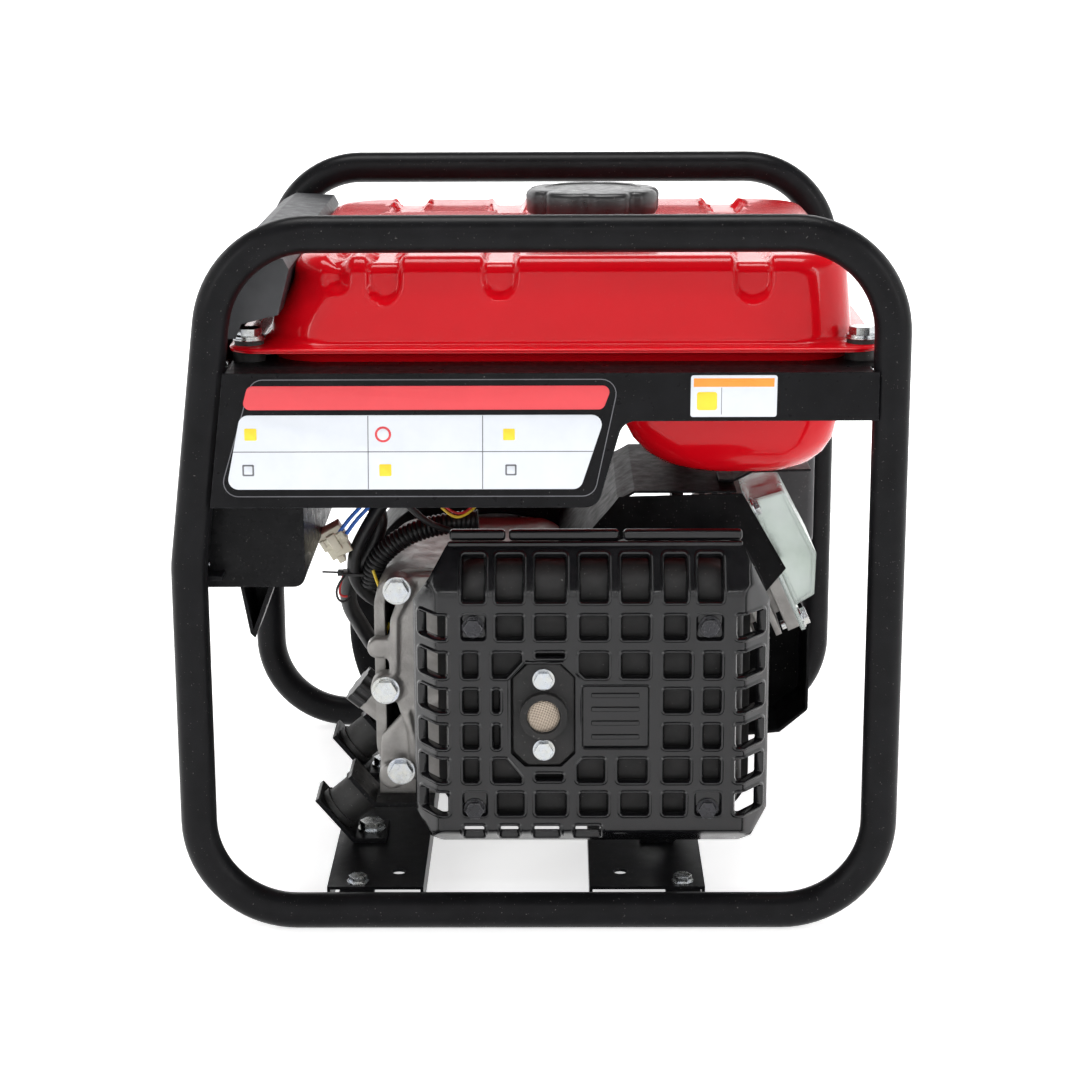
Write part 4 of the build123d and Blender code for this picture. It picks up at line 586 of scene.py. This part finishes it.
def plan(x0, x1, half_y, radius):
    """A rounded rectangle as (x, y, nx, ny), the same count of points for any size."""
    along, across, turn = TANK_COUNTS
    found = []
    legs = (((x0 + radius, -half_y), (x1 - radius, -half_y), (0, -1), along, (x1 - radius, radius - half_y),
             -90),
            ((x1, radius - half_y), (x1, half_y - radius), (1, 0), across, (x1 - radius, half_y - radius),
             0),
            ((x1 - radius, half_y), (x0 + radius, half_y), (0, 1), along, (x0 + radius, half_y - radius),
             90),
            ((x0, half_y - radius), (x0, radius - half_y), (-1, 0), across, (x0 + radius, radius - half_y),
             180))
    for (ax, ay), (bx, by), (nx, ny), count, (cx, cy), angle in legs:
        for k in range(count):
            t = k / count
            found.append((ax + (bx - ax) * t, ay + (by - ay) * t, nx, ny))
        for k in range(turn):
            a = math.radians(angle + 90 * k / turn)
            found.append((cx + radius * math.cos(a), cy + radius * math.sin(a), math.cos(a), math.sin(a)))
    return found


CHANNELS = ((-92.3, 390.6, 10.6), (-22.2, 393.0, 10.6), (130.8, 390.6, 11.6))
FILLER_X = 36.0


def channel(x, along, low, width):
    """Depth of a pressed channel with a round end. along runs up the wall and on over the top."""
    centre = low + width
    reach = abs(x) - width if along > centre else math.hypot(x, along - centre) - width
    return smooth((1.2 - reach) / 3.6)


def tank_press(x, y, z, rise):
    """How deep the skin is pressed in at a place. rise is 0 on the wall and 1 on the top."""
    depth = 0.0
    along = z + (166.0 - abs(y)) * rise
    for centre, low, width in CHANNELS:
        if abs(x - centre) < width + 4:
            far = smooth((abs(y) - 62.0) / 10.0) if rise > 0.5 else 1.0
            depth = max(depth, 4.2 * channel(x - centre, along, low, width) * far)
            ridge = math.exp(-((abs(x - centre) - width - 2.2) / 1.5) ** 2)
            depth -= 0.7 * ridge * (1 if along > low + width else 0) * far
    if y < 0 or rise < 0.5:
        ear = smooth(1 - abs(x + 120.5) / 9.0) * smooth((along - 394.0) / 9.0)
        depth = max(depth, 7.0 * ear * (smooth((abs(y) - 90.0) / 20.0) if rise > 0.5 else 1.0))
    return depth


def tank_upper():
    levels = [(-187.0, 208.5, 185.0, 20.0, 362.9, -40.0), (-187.2, 208.7, 185.2, 20.0, 363.5, 0.0),
              (-186.8, 208.3, 184.8, 20.0, 364.2, 60.0), (-178.0, 202.0, 178.0, 30.0, 364.4, 90.0),
              (-172.0, 199.0, 174.2, 38.0, 364.6, 80.0), (-168.5, 196.6, 172.4, 39.0, 365.6, 55.0),
              (-166.5, 195.3, 171.4, 40.0, 367.4, 30.0), (-165.0, 194.6, 171.0, 40.0, 370.0, 8.0)]
    for k in range(1, 12):
        t = k / 11
        left = -165.0 + 15.0 * smooth(t)
        levels.append((left, 194.4 - 3.0 * t, 170.8 - 3.6 * t, 40.0 - 3.0 * t, 370.0 + 35.0 * t, 5.0))
    for k in range(1, 8):
        a = math.radians(90 * k / 7)
        inset, lift = 12.0 * (1 - math.cos(a)), 12.0 * math.sin(a)
        levels.append((-150.0 + inset, 191.4 - inset, 167.2 - inset, 37.0 - inset * 0.6, 405.0 + lift,
                       90 * k / 7))
    bm = bmesh.new()
    rings = []
    for x0, x1, half_y, radius, z, pitch in levels:
        rise = math.sin(math.radians(max(0.0, pitch)))
        flat = math.cos(math.radians(max(0.0, pitch)))
        ring = []
        for x, y, nx, ny in plan(x0, x1, half_y, radius):
            press = tank_press(x, y, z, rise) if z > 384 else 0.0
            ring.append((x - nx * press * flat, y - ny * press * flat, z - press * rise))
        rings.append(ring)
    rim = plan(*levels[-1][:4])
    steps = 44
    for k in range(1, steps + 1):
        t = k / steps
        ring = []
        for x, y, _, _ in rim:
            a = math.atan2(y, x - FILLER_X)
            cx, cy = FILLER_X + 30.0 * math.cos(a), 30.0 * math.sin(a)
            px, py = x + (cx - x) * t, y + (cy - y) * t
            out = math.hypot(px - FILLER_X, py)
            crown = 0.9 * smooth(t * 1.6)
            boss = 4.0 * smooth((56.0 - out) / 8.0) + 5.0 * smooth((35.0 - out) / 4.0)
            pad = 4.6 * smooth((26.0 - abs(px - 112.0)) / 8.0) * smooth((44.0 - abs(py + 20.0)) / 9.0)
            pad = max(pad, 3.4 * smooth((46.0 - abs(px + 68.0)) / 9.0) * smooth((52.0 - abs(py)) / 9.0))
            ring.append((px, py, 417.0 + crown + max(boss, pad) - tank_press(px, py, 417.0, 1.0)))
        rings.append(ring)
    loops = rings_mesh(bm, rings)
    low = [bm.verts.new((v.co.x, v.co.y, 405.0)) for v in loops[-1]]
    for k in range(len(low)):
        j = (k + 1) % len(low)
        bm.faces.new((loops[-1][k], loops[-1][j], low[j], low[k]))
    bmesh.ops.scale(bm, vec=(MM, MM, MM), verts=bm.verts)
    piece("tank_top_pressing", bm, "tank_red", angle=60.0, replaces=("fuel_tank_upper",))


def tank_lower():
    levels = [(-186.6, 208.0, 184.6, 20.0, 362.7), (-186.8, 208.2, 184.8, 20.0, 361.9), (-182.0, 204.0,
            181.0, 22.0, 361.5),
              (-166.0, 196.0, 173.0, 34.0, 361.0), (-164.0, 194.6, 171.4, 36.0, 358.0), (-162.0, 193.6,
              170.6, 36.0, 345.0),
              (-160.0, 192.6, 169.6, 36.0, 338.0), (-154.0, 189.0, 165.0, 34.0, 334.0), (-140.0, 186.0,
              158.0, 30.0, 333.2),
              (44.0, 191.0, 136.0, 22.0, 332.8), (46.0, 190.8, 134.0, 22.0, 331.0), (50.0, 190.4, 131.5,
              24.0, 322.0),
              (54.0, 190.0, 130.5, 26.0, 306.0), (60.0, 188.0, 128.0, 28.0, 294.0), (68.0, 183.0, 123.0,
              30.0, 284.0),
              (78.0, 176.0, 116.0, 30.0, 276.5), (90.0, 168.0, 108.0, 28.0, 272.0), (102.0, 158.0, 98.0,
              24.0, 270.2),
              (116.0, 146.0, 86.0, 14.0, 269.9)]
    bm = bmesh.new()
    rings_mesh(bm, [[(x, y, z) for x, y, _, _ in plan(*row[:4])] for row in levels for z in (row[4],)],
               close_last=True)
    bmesh.ops.scale(bm, vec=(MM, MM, MM), verts=bm.verts)
    bmesh.ops.reverse_faces(bm, faces=bm.faces)
    piece("tank_low_pressing", bm, "tank_red", angle=60.0, replaces=("fuel_tank_lower",))


def fuel_cap():
    """A lobed moulding with a dished top disc."""
    count = 192
    profile = ((0.90, 425.2), (0.955, 425.6), (0.975, 427.0), (0.985, 433.0), (0.99, 437.5), (0.975, 439.6),
               (0.945, 440.9),
               (0.91, 441.4), (0.80, 441.7), (0.715, 441.8), (0.70, 441.3), (0.685, 440.9), (0.62, 440.9),
               (0.3, 440.95))
    bm = bmesh.new()
    rings = []
    for share, z in profile:
        grip = smooth((share - 0.76) / 0.16)
        ring = []
        for k in range(count):
            a = 2 * math.pi * k / count
            notch = (0.5 + 0.5 * math.cos(8 * a + 0.9)) ** 5
            r = 45.0 * share * (1 - 0.085 * notch * grip)
            ring.append((FILLER_X + r * math.cos(a), r * math.sin(a), z))
        rings.append(ring)
    loops = rings_mesh(bm, rings, close_last=True)
    inner = [bm.verts.new((FILLER_X + (v.co.x - FILLER_X) * 0.84, v.co.y * 0.84, 425.2)) for v in loops[0]]
    for k in range(count):
        j = (k + 1) % count
        bm.faces.new((loops[0][j], loops[0][k], inner[k], inner[j]))
    bmesh.ops.scale(bm, vec=(MM, MM, MM), verts=bm.verts)
    piece("cap_moulding", bm, "cap_plastic", body="fuel_cap", replaces=("fuel_cap",))


tank_upper()
tank_lower()
fuel_cap()


# ---------------------------------------------------------------- side plate decals, with no lettering
PLATE_Y = -211.4


def decal(name, points, radius, material, lift=0.16, y=PLATE_Y):
    bm = bmesh.new()
    outline = contour(points, radius, 6)
    rings = [[(*p[:1], y + back, p[1]) for p in (q - n * inset for q, n in outline)]
             for inset, back in ((0.0, 0.05), (0.0, -lift * 0.6), (0.08, -lift))]
    rings_mesh(bm, rings, close_last=True)
    bmesh.ops.scale(bm, vec=(MM, MM, MM), verts=bm.verts)
    return piece(name, bm, material, angle=60.0)


def line_loop(name, points, radius, width, material, lift=0.12):
    bm = bmesh.new()
    outline = contour(points, radius, 6)
    rings = [[(p.x, PLATE_Y + back, p.y) for p in (q - n * inset for q, n in outline)]
             for inset, back in ((0.0, 0.05), (0.0, -lift), (width, -lift), (width, 0.05))]
    rings_mesh(bm, rings)
    bmesh.ops.scale(bm, vec=(MM, MM, MM), verts=bm.verts)
    return piece(name, bm, material, angle=60.0)


decal("decal_red_band", [(-175.5, 332.6), (39.5, 332.6), (45.0, 347.0), (-171.5, 347.0)], 4.0, "label_red")
decal("decal_white_panel", [(-186.0, 284.2), (26.0, 284.2), (41.0, 329.4), (-176.5, 329.4)], 6.0,
      "label_white")
line_loop("decal_border", [(-191.0, 279.6), (34.5, 279.6), (49.5, 351.0), (-169.0, 351.0)], 9.0, 0.5,
          "label_line")
for number, (x, lean) in enumerate(((-100.6, -0.6), (-32.4, -0.4)), 1):
    decal(f"decal_rule_{number}", [(x + lean, 284.4), (x + lean + 0.6, 284.4), (x + 0.6, 329.2), (x,
            329.2)], 0.1,
          "label_line", 0.22)
decal("decal_rule_3", [(-181.2, 306.9), (33.4, 306.9), (33.6, 307.5), (-181.0, 307.5)], 0.1, "label_line",
      0.22)
PATCHES = ((-170.5, 317.8, 5.2, "label_yellow", 4), (-91.5, 317.8, 4.9, "label_red", 24), (-16.5, 317.6,
        5.0, "label_yellow", 4),
           (-172.5, 296.0, 5.0, "label_line", 4), (-90.5, 296.0, 5.2, "label_yellow", 4), (-15.5, 296.0,
           4.8, "label_line", 4))
for number, (x, z, size, material, sides) in enumerate(PATCHES, 1):
    turn = math.pi / 2 if sides != 4 else math.pi / 4
    spots = [(x + size * math.cos(turn + 2 * math.pi * k / sides),
              z + size * math.sin(turn + 2 * math.pi * k / sides))
             for k in range(sides)]
    decal(f"decal_patch_{number}", spots, 0.8, material, 0.24)
    if material != "label_yellow":
        inner = [(x + (a - x) * 0.72, z + (b - z) * 0.72) for a, b in spots]
        decal(f"decal_patch_{number}_field", inner, 0.6, "label_white", 0.3)
decal("decal_small_label", [(91.2, 327.9), (142.4, 327.9), (142.6, 353.0), (91.4, 353.0)], 1.6,
      "label_white")
decal("decal_small_band", [(93.0, 346.0), (140.8, 346.0), (140.9, 351.2), (93.1, 351.2)], 0.3,
      "label_orange", 0.24)
decal("decal_small_patch", [(95.0, 332.0), (107.0, 332.0), (107.0, 343.0), (95.0, 343.0)], 1.6,
      "label_yellow", 0.26)
decal("decal_small_rule", [(109.4, 329.4), (109.8, 329.4), (109.8, 345.6), (109.4, 345.6)], 0.05,
      "label_line", 0.24)


# ---------------------------------------------------------------- castings, wiring and small pieces
def applied(obj):
    """The object's mesh with its modifiers carried out."""
    bpy.context.view_layer.update()
    made = bpy.data.meshes.new_from_object(obj.evaluated_get(bpy.context.evaluated_depsgraph_get()))
    bpy.data.objects.remove(obj)
    return made


def solid_outline(bm, points, radius, y0, y1, steps=5):
    outline = contour(points, radius, steps)
    low = [bm.verts.new((p.x, y0, p.y)) for p, _ in outline]
    high = [bm.verts.new((p.x, y1, p.y)) for p, _ in outline]
    for k in range(len(low)):
        j = (k + 1) % len(low)
        bm.faces.new((low[k], low[j], high[j], high[k]))
    bm.faces.new(low[::-1])
    bm.faces.new(high)


def disc_points(x, z, r, count=20):
    return [(x + r * math.cos(2 * math.pi * k / count),
             z + r * math.sin(2 * math.pi * k / count)) for k in range(count)]


def cast_piece(name, forms, replaces, voxel=1.3, rounds=4, body="root"):
    """Overlapping solids melted into one casting with soft inner corners."""
    bm = bmesh.new()
    for points, radius, y0, y1 in forms:
        solid_outline(bm, points, radius, y0, y1)
    bmesh.ops.recalc_face_normals(bm, faces=bm.faces)
    rough = bpy.data.meshes.new(name + "_rough")
    bm.to_mesh(rough)
    bm.free()
    obj = bpy.data.objects.new(name + "_rough", rough)
    bpy.context.scene.collection.objects.link(obj)
    melt = obj.modifiers.new("melt", "REMESH")
    melt.mode = "VOXEL"
    melt.voxel_size = voxel
    soften = obj.modifiers.new("soften", "SMOOTH")
    soften.factor = 0.5
    soften.iterations = rounds
    mesh = applied(obj)
    mesh.transform(Matrix.Scale(MM, 4))
    return piece(name, mesh, "cast_alloy", body=body, angle=70.0, replaces=replaces)


COVER_FOOT, BOSS_FACE, RIB_FOOT = -95.3, -110.0, -100.0


def crankcase_cover():
    bolts = [(-91.8, 194.0), (-100.2, 126.6), (-96.9, 66.7), (-22.2, 202.8), (14.0, 100.0), (-25.0, 70.0)]
    edge = [(-84.0, 62.0), (14.0, 62.0), (21.0, 90.0), (21.0, 175.0), (-10.0, 203.0), (-84.0, 203.0),
            (-92.0, 186.0),
            (-97.0, 172.0), (-98.0, 140.0), (-92.0, 112.0), (-86.0, 96.0)]
    forms = [(edge, 5.0, -107.6, COVER_FOOT), (disc_points(-91.8, 194.0, 9.6), 1.0, BOSS_FACE, COVER_FOOT),
             (disc_points(-100.2, 126.6, 10.2), 1.0, BOSS_FACE, COVER_FOOT), (disc_points(-105.4, 153.5,
             7.0), 1.0, -106.5, -96.5),
             ([(-104.0, 146.6), (-92.0, 146.6), (-92.0, 160.4), (-104.0, 160.4)], 1.0, -106.5, -96.5),
             ([(-106.0, 64.0), (-80.0, 62.0), (-80.0, 100.0), (-90.0, 108.0), (-104.0, 92.0)], 3.0, -103.5,
              COVER_FOOT),
             ([(-88.0, 112.0), (-84.0, 112.0), (-76.0, 74.0), (-81.0, 72.0)], 1.0, -109.6, RIB_FOOT),
             ([(-96.5, 138.0), (-92.5, 136.0), (-91.5, 176.0), (-94.5, 178.0)], 1.0, -109.2, RIB_FOOT),
             ([(-94.0, 178.0), (-91.0, 176.0), (-80.0, 196.0), (-82.5, 199.0)], 1.0, -109.2, RIB_FOOT)]
    for x, z in bolts[2:]:
        forms.append((disc_points(x, z, 9.0), 1.0, BOSS_FACE, COVER_FOOT))
    for spot in range(6):
        a = math.radians(60 * spot + 20)
        x0, z0 = -38.0 + 16 * math.cos(a), 128.0 + 16 * math.sin(a)
        x1, z1 = -38.0 + 46 * math.cos(a), 128.0 + 46 * math.sin(a)
        dx, dz = -2.2 * math.sin(a), 2.2 * math.cos(a)
        forms.append(([(x0 - dx, z0 - dz), (x1 - dx, z1 - dz), (x1 + dx, z1 + dz), (x0 + dx, z0 + dz)], 0.8,
                      -109.4, RIB_FOOT))
    forms.append((disc_points(-31.0, 121.0, 20.0), 1.0, -109.8, RIB_FOOT))
    cast_piece("cover_casting", forms, ("crankcase_cover",))


def route(points):
    """Places along the smooth curve that control points give."""
    data = bpy.data.curves.new("route", "CURVE")
    data.dimensions = "3D"
    data.resolution_u = 12
    spline = data.splines.new("NURBS")
    spline.points.add(len(points) - 1)
    for point, co in zip(spline.points, points):
        point.co = (*co, 1.0)
    spline.order_u = 3
    spline.use_endpoint_u = True
    obj = bpy.data.objects.new("route", data)
    bpy.context.scene.collection.objects.link(obj)
    mesh = bpy.data.meshes.new_from_object(obj)
    found = [v.co.copy() for v in mesh.vertices]
    bpy.data.objects.remove(obj)
    return found


def even(line, spacing):
    """The same line with evenly spaced places."""
    found, carried = [line[0].copy()], 0.0
    for a, b in zip(line, line[1:]):
        length = (b - a).length
        while length > 1e-9 and carried + length >= spacing:
            t = (spacing - carried) / length
            a = a.lerp(b, t)
            found.append(a.copy())
            length = (b - a).length
            carried = 0.0
        carried += length
    return found


def sleeve(name, points, radius, material, body="root", rib=0.0, pitch=3.2, replaces=(), sides=20,
           spacing=0.8, twist=0.0,
           lobes=0):
    """A flexible tube along a smooth route. rib makes it corrugated, lobes make it a twisted rope."""
    line = even(route(points), spacing)
    bm = bmesh.new()
    rings = []
    ahead = (line[1] - line[0]).normalized()
    side = ahead.orthogonal().normalized()
    for k, here in enumerate(line):
        along = (line[min(k + 1, len(line) - 1)] - line[max(k - 1, 0)]).normalized()
        side = (side - along * side.dot(along)).normalized()
        other = along.cross(side)
        wave = 0.5 + 0.5 * math.cos(2 * math.pi * k * spacing / pitch)
        ring = []
        for j in range(sides):
            a = 2 * math.pi * j / sides
            r = radius - rib * (1 - wave ** 0.6) if rib else radius
            if lobes:
                r *= 0.93 + 0.07 * math.cos(lobes * (a + twist * k * spacing))
            ring.append(here + side * (r * math.cos(a)) + other * (r * math.sin(a)))
        rings.append(ring)
    loops = rings_mesh(bm, rings)
    bm.faces.new(loops[0][::-1])
    bm.faces.new(loops[-1])
    return piece(name, scaled(bm), material, body=body, angle=60.0, replaces=replaces)


def blocks(name, boxes, material, centre=(0.0, 0.0, 0.0), turn=(0.0, 0.0, 0.0), edge=0.5, body="root"):
    """Several softened boxes as one moulding, turned about its centre."""
    bm = bmesh.new()
    for x0, x1, y0, y1, z0, z1 in boxes:
        made = bmesh.ops.create_cube(bm, size=1.0)["verts"]
        for v in made:
            v.co = Vector(((x0 + x1) / 2 + v.co.x * (x1 - x0), (y0 + y1) / 2 + v.co.y * (y1 - y0),
                           (z0 + z1) / 2 + v.co.z * (z1 - z0)))
    place = Matrix.Translation(centre)
    for axis, angle in zip("XYZ", turn):
        place = place @ Matrix.Rotation(math.radians(angle), 4, axis)
    bm.transform(place)
    bmesh.ops.bevel(bm, geom=bm.edges[:], offset=edge, segments=2, profile=0.5, affect="EDGES")
    return piece(name, scaled(bm), material, body=body, angle=50.0)


crankcase_cover()
sleeve("main_cable", [(-141, -30, 242), (-122, -34, 243), (-104, -44, 230), (-113, -50, 204), (-128, -46,
        186),
                      (-131, -30, 164), (-124, -14, 144), (-117, 0, 126)], 5.6, "loom_plastic",
       replaces=("wiring_loom",))
sleeve("second_cable", [(-84, -58, 262), (-100, -58, 246), (-114, -58, 224), (-124, -56, 204), (-124, -52,
        186),
                        (-116, -44, 172), (-106, -34, 164)], 4.6, "loom_plastic")
sleeve("ribbed_loom", [(-40, -66, 230), (-62, -66, 228), (-84, -64, 222), (-102, -60, 209), (-112, -56,
        195), (-113, -50, 182)],
       7.4, "loom_plastic", rib=1.3)
sleeve("thin_cable", [(-92, -78, 250), (-80, -78, 236), (-64, -76, 226), (-46, -74, 222)], 2.2,
       "loom_plastic")
for number, (dx, dz) in enumerate(((0.0, 0.0), (4.6, -1.0)), 1):
    sleeve(f"blue_wire_{number}", [(-132 + dx, -66, 222 + dz), (-126 + dx, -67, 231 + dz), (-116 + dx, -68,
            241 + dz),
                                   (-107 + dx, -70, 256 + dz), (-103 + dx, -72, 268 + dz)], 1.35,
                                   "wire_blue",
           sides=10)
for number, points in enumerate((((-110, -70, 197), (-107, -70, 187), (-104, -70, 180)),
                                 ((-99, -78, 163), (-101, -78, 157), (-104, -77, 150)),
                                 ((-66, -80, 245), (-58, -82, 236), (-48, -82, 236), (-40, -80, 244))), 1):
    sleeve(f"yellow_wire_{number}", points, 1.0, "wire_yellow", sides=8)
sleeve("red_wire_1", [(-131, -58, 190), (-134, -58, 182), (-133, -58, 175), (-128, -58, 176)], 0.8,
       "wire_red",
       sides=8)
sleeve("red_wire_2", [(-64, -82, 246), (-57, -84, 239), (-47, -84, 239), (-41, -82, 246)], 0.8, "wire_red",
       sides=8)
sleeve("black_wire_loop", [(-130, -59, 190), (-136, -59, 183), (-135, -59, 173), (-129, -59, 172), (-126,
        -57, 176)], 0.8,
       "loom_plastic", sides=8)
rope = sleeve("starter_rope", [(1, 164.3, 123), (1, 164.3, 150), (1, 164.3, 172), (1, 166, 180), (1, 171,
        183.2),
                               (1, 178, 183.2), (1, 188.4, 183.2)], 2.0, "cord", body=None,
              replaces=("pull_rope",), lobes=3, twist=0.9)
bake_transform(rope)
blocks("cable_tie", [(-7.5, 7.5, -6.5, 7.0, -1.0, 1.0), (-10.5, -6.5, -3.0, 2.0, -1.8, 1.8), (-21.0, -9.0,
        -1.1, 1.1, -0.5, 0.5)],
       "loom_plastic", (-124.5, -52.0, 190.5), (0.0, 2.0, 0.0), 0.3)
blocks("socket_connector", [(-9, 9, -6, 6, -5, 8), (-8, 8, -7.2, 7.2, -1, 3.5), (-7.5, 7.5, -5.2, 5.2, -13,
        -5),
                            (-3.0, 3.0, -8.4, -5.0, -8, 5), (-4.5, 0.5, -5.8, 5.8, -17, -12), (5.5, 8.6,
                            -7.6, -6.0, -2, 4),
                            (-8.6, -5.5, -7.6, -6.0, -2, 4)],
       "connector", (-137.0, -60.0, 217.0), (12.0, -28.0, 8.0), 0.6)


def arrester_screen():
    low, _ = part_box("spark_arrester")
    bm = bmesh.new()
    rings = []
    for k in range(9):
        t = 1 - k / 9
        r = 10.6 * t
        rings.append([(3.4 + r * math.cos(2 * math.pi * j / 48), low.y / MM + 2.2 - 2.6 * (1 - t * t),
                       134.4 + r * math.sin(2 * math.pi * j / 48)) for j in range(48)])
    rings_mesh(bm, rings, close_last=True)
    piece("arrester_screen", scaled(bm), "screen", angle=80.0)


arrester_screen()

# the four guard bolts are black, the other fasteners zinc plated
GUARD_BOLTS_X, GUARD_BOLTS_Z, BOLT_REACH = (-40.2, 106.2), (71.4, 190.6), 12
bolts = nodes["fasteners"].data
bolts.materials.append(M["black_bolt"])
for face in bolts.polygons:
    x, y, z = face.center / MM
    near_x = min(abs(x - bolt) for bolt in GUARD_BOLTS_X) < BOLT_REACH
    near_z = min(abs(z - bolt) for bolt in GUARD_BOLTS_Z) < BOLT_REACH
    if y < -170 and near_x and near_z:
        face.material_index = 1


# ---------------------------------------------------------------- camera, light and floor
CAMERA_PLACE = (0.01257, -1.6595, 0.6152)
CAMERA_PITCH, CAMERA_TURN, CAMERA_ROLL = 75.95, 0.43, -0.22
LENS_MM, SENSOR_MM = 82.76, 36.0
LIGHT_TARGET = (0.0, 0.0, 0.22)
LIGHTS = (("top_softbox", (0.0, 0.15, 1.9), LIGHT_TARGET, 1.3, 0.6, 20.0),
          ("left_softbox", (-1.6, -1.5, 1.2), LIGHT_TARGET, 0.2, 1.5, 7.5),
          ("right_softbox", (1.7, -1.2, 1.1), LIGHT_TARGET, 0.2, 1.5, 6.5),
          ("front_softbox", (0.1, -2.2, 2.0), LIGHT_TARGET, 1.3, 0.12, 6.0),
          ("backdrop_wash", (0.0, 1.6, 2.6), (0.0, 4.6, 0.9), 3.0, 1.0, 160.0))
WORLD_STRENGTH, FLOOR_GLOW = 0.12, 0.62
FLOOR_RADIUS, FLOOR_CURVE = 5.0, 2.5


def camera():
    data = bpy.data.cameras.new("camera")
    data.lens = LENS_MM
    data.sensor_width = SENSOR_MM
    data.clip_start = 0.05
    data.clip_end = 60.0
    obj = bpy.data.objects.new("camera", data)
    bpy.context.scene.collection.objects.link(obj)
    aim = Matrix.Rotation(math.radians(CAMERA_TURN), 4, "Z") @ Matrix.Rotation(math.radians(CAMERA_PITCH),
            4, "X")
    roll = Matrix.Rotation(math.radians(CAMERA_ROLL), 4, "Z")
    obj.matrix_world = Matrix.Translation(CAMERA_PLACE) @ aim @ roll
    bpy.context.scene.camera = obj


def softbox(name, place, target, width, height, power):
    data = bpy.data.lights.new(name, "AREA")
    data.shape = "RECTANGLE"
    data.size, data.size_y = width, height
    data.energy = power
    obj = bpy.data.objects.new(name, data)
    bpy.context.scene.collection.objects.link(obj)
    obj.location = place
    obj.rotation_euler = (Vector(target) - Vector(place)).to_track_quat("-Z", "Y").to_euler()


def studio():
    world = bpy.data.worlds.new("studio")
    bpy.context.scene.world = world
    world.use_nodes = True
    background = world.node_tree.nodes["Background"]
    background.inputs["Color"].default_value = (0.97, 0.98, 1.0, 1.0)
    background.inputs["Strength"].default_value = WORLD_STRENGTH
    for row in LIGHTS:
        softbox(*row)

    s = Shader("studio_floor")
    shade = s.mix(s.spread(s.noise(3.0), 0.3, 0.7), (0.90, 0.90, 0.905, 1.0), (0.93, 0.93, 0.93, 1.0))
    s.link(shade, s.principled.inputs["Base Color"])
    s.principled.inputs["Roughness"].default_value = 0.7
    s.principled.inputs["Emission Color"].default_value = (1.0, 1.0, 1.0, 1.0)
    s.principled.inputs["Emission Strength"].default_value = FLOOR_GLOW
    bm = bmesh.new()
    count = 96
    rings = [(FLOOR_RADIUS * k / 6, 0.0) for k in range(1, 7)]
    for k in range(1, 13):
        a = math.radians(7.5 * k)
        rings.append((FLOOR_RADIUS + FLOOR_CURVE * math.sin(a), FLOOR_CURVE - FLOOR_CURVE * math.cos(a)))
    rings.append((FLOOR_RADIUS + FLOOR_CURVE, 2 * FLOOR_CURVE))
    rings_mesh(bm, [[(r * math.cos(2 * math.pi * k / count), r * math.sin(2 * math.pi * k / count), z)
                     for k in range(count)] for r, z in reversed(rings)], close_last=True)
    mesh = bpy.data.meshes.new("floor")
    bm.to_mesh(mesh)
    bm.free()
    mesh.materials.append(s.material)
    for face in mesh.polygons:
        face.use_smooth = True
    floor = bpy.data.objects.new("floor", mesh)
    bpy.context.scene.collection.objects.link(floor)
    bpy.context.scene.view_settings.view_transform = "Standard"


camera()
studio()
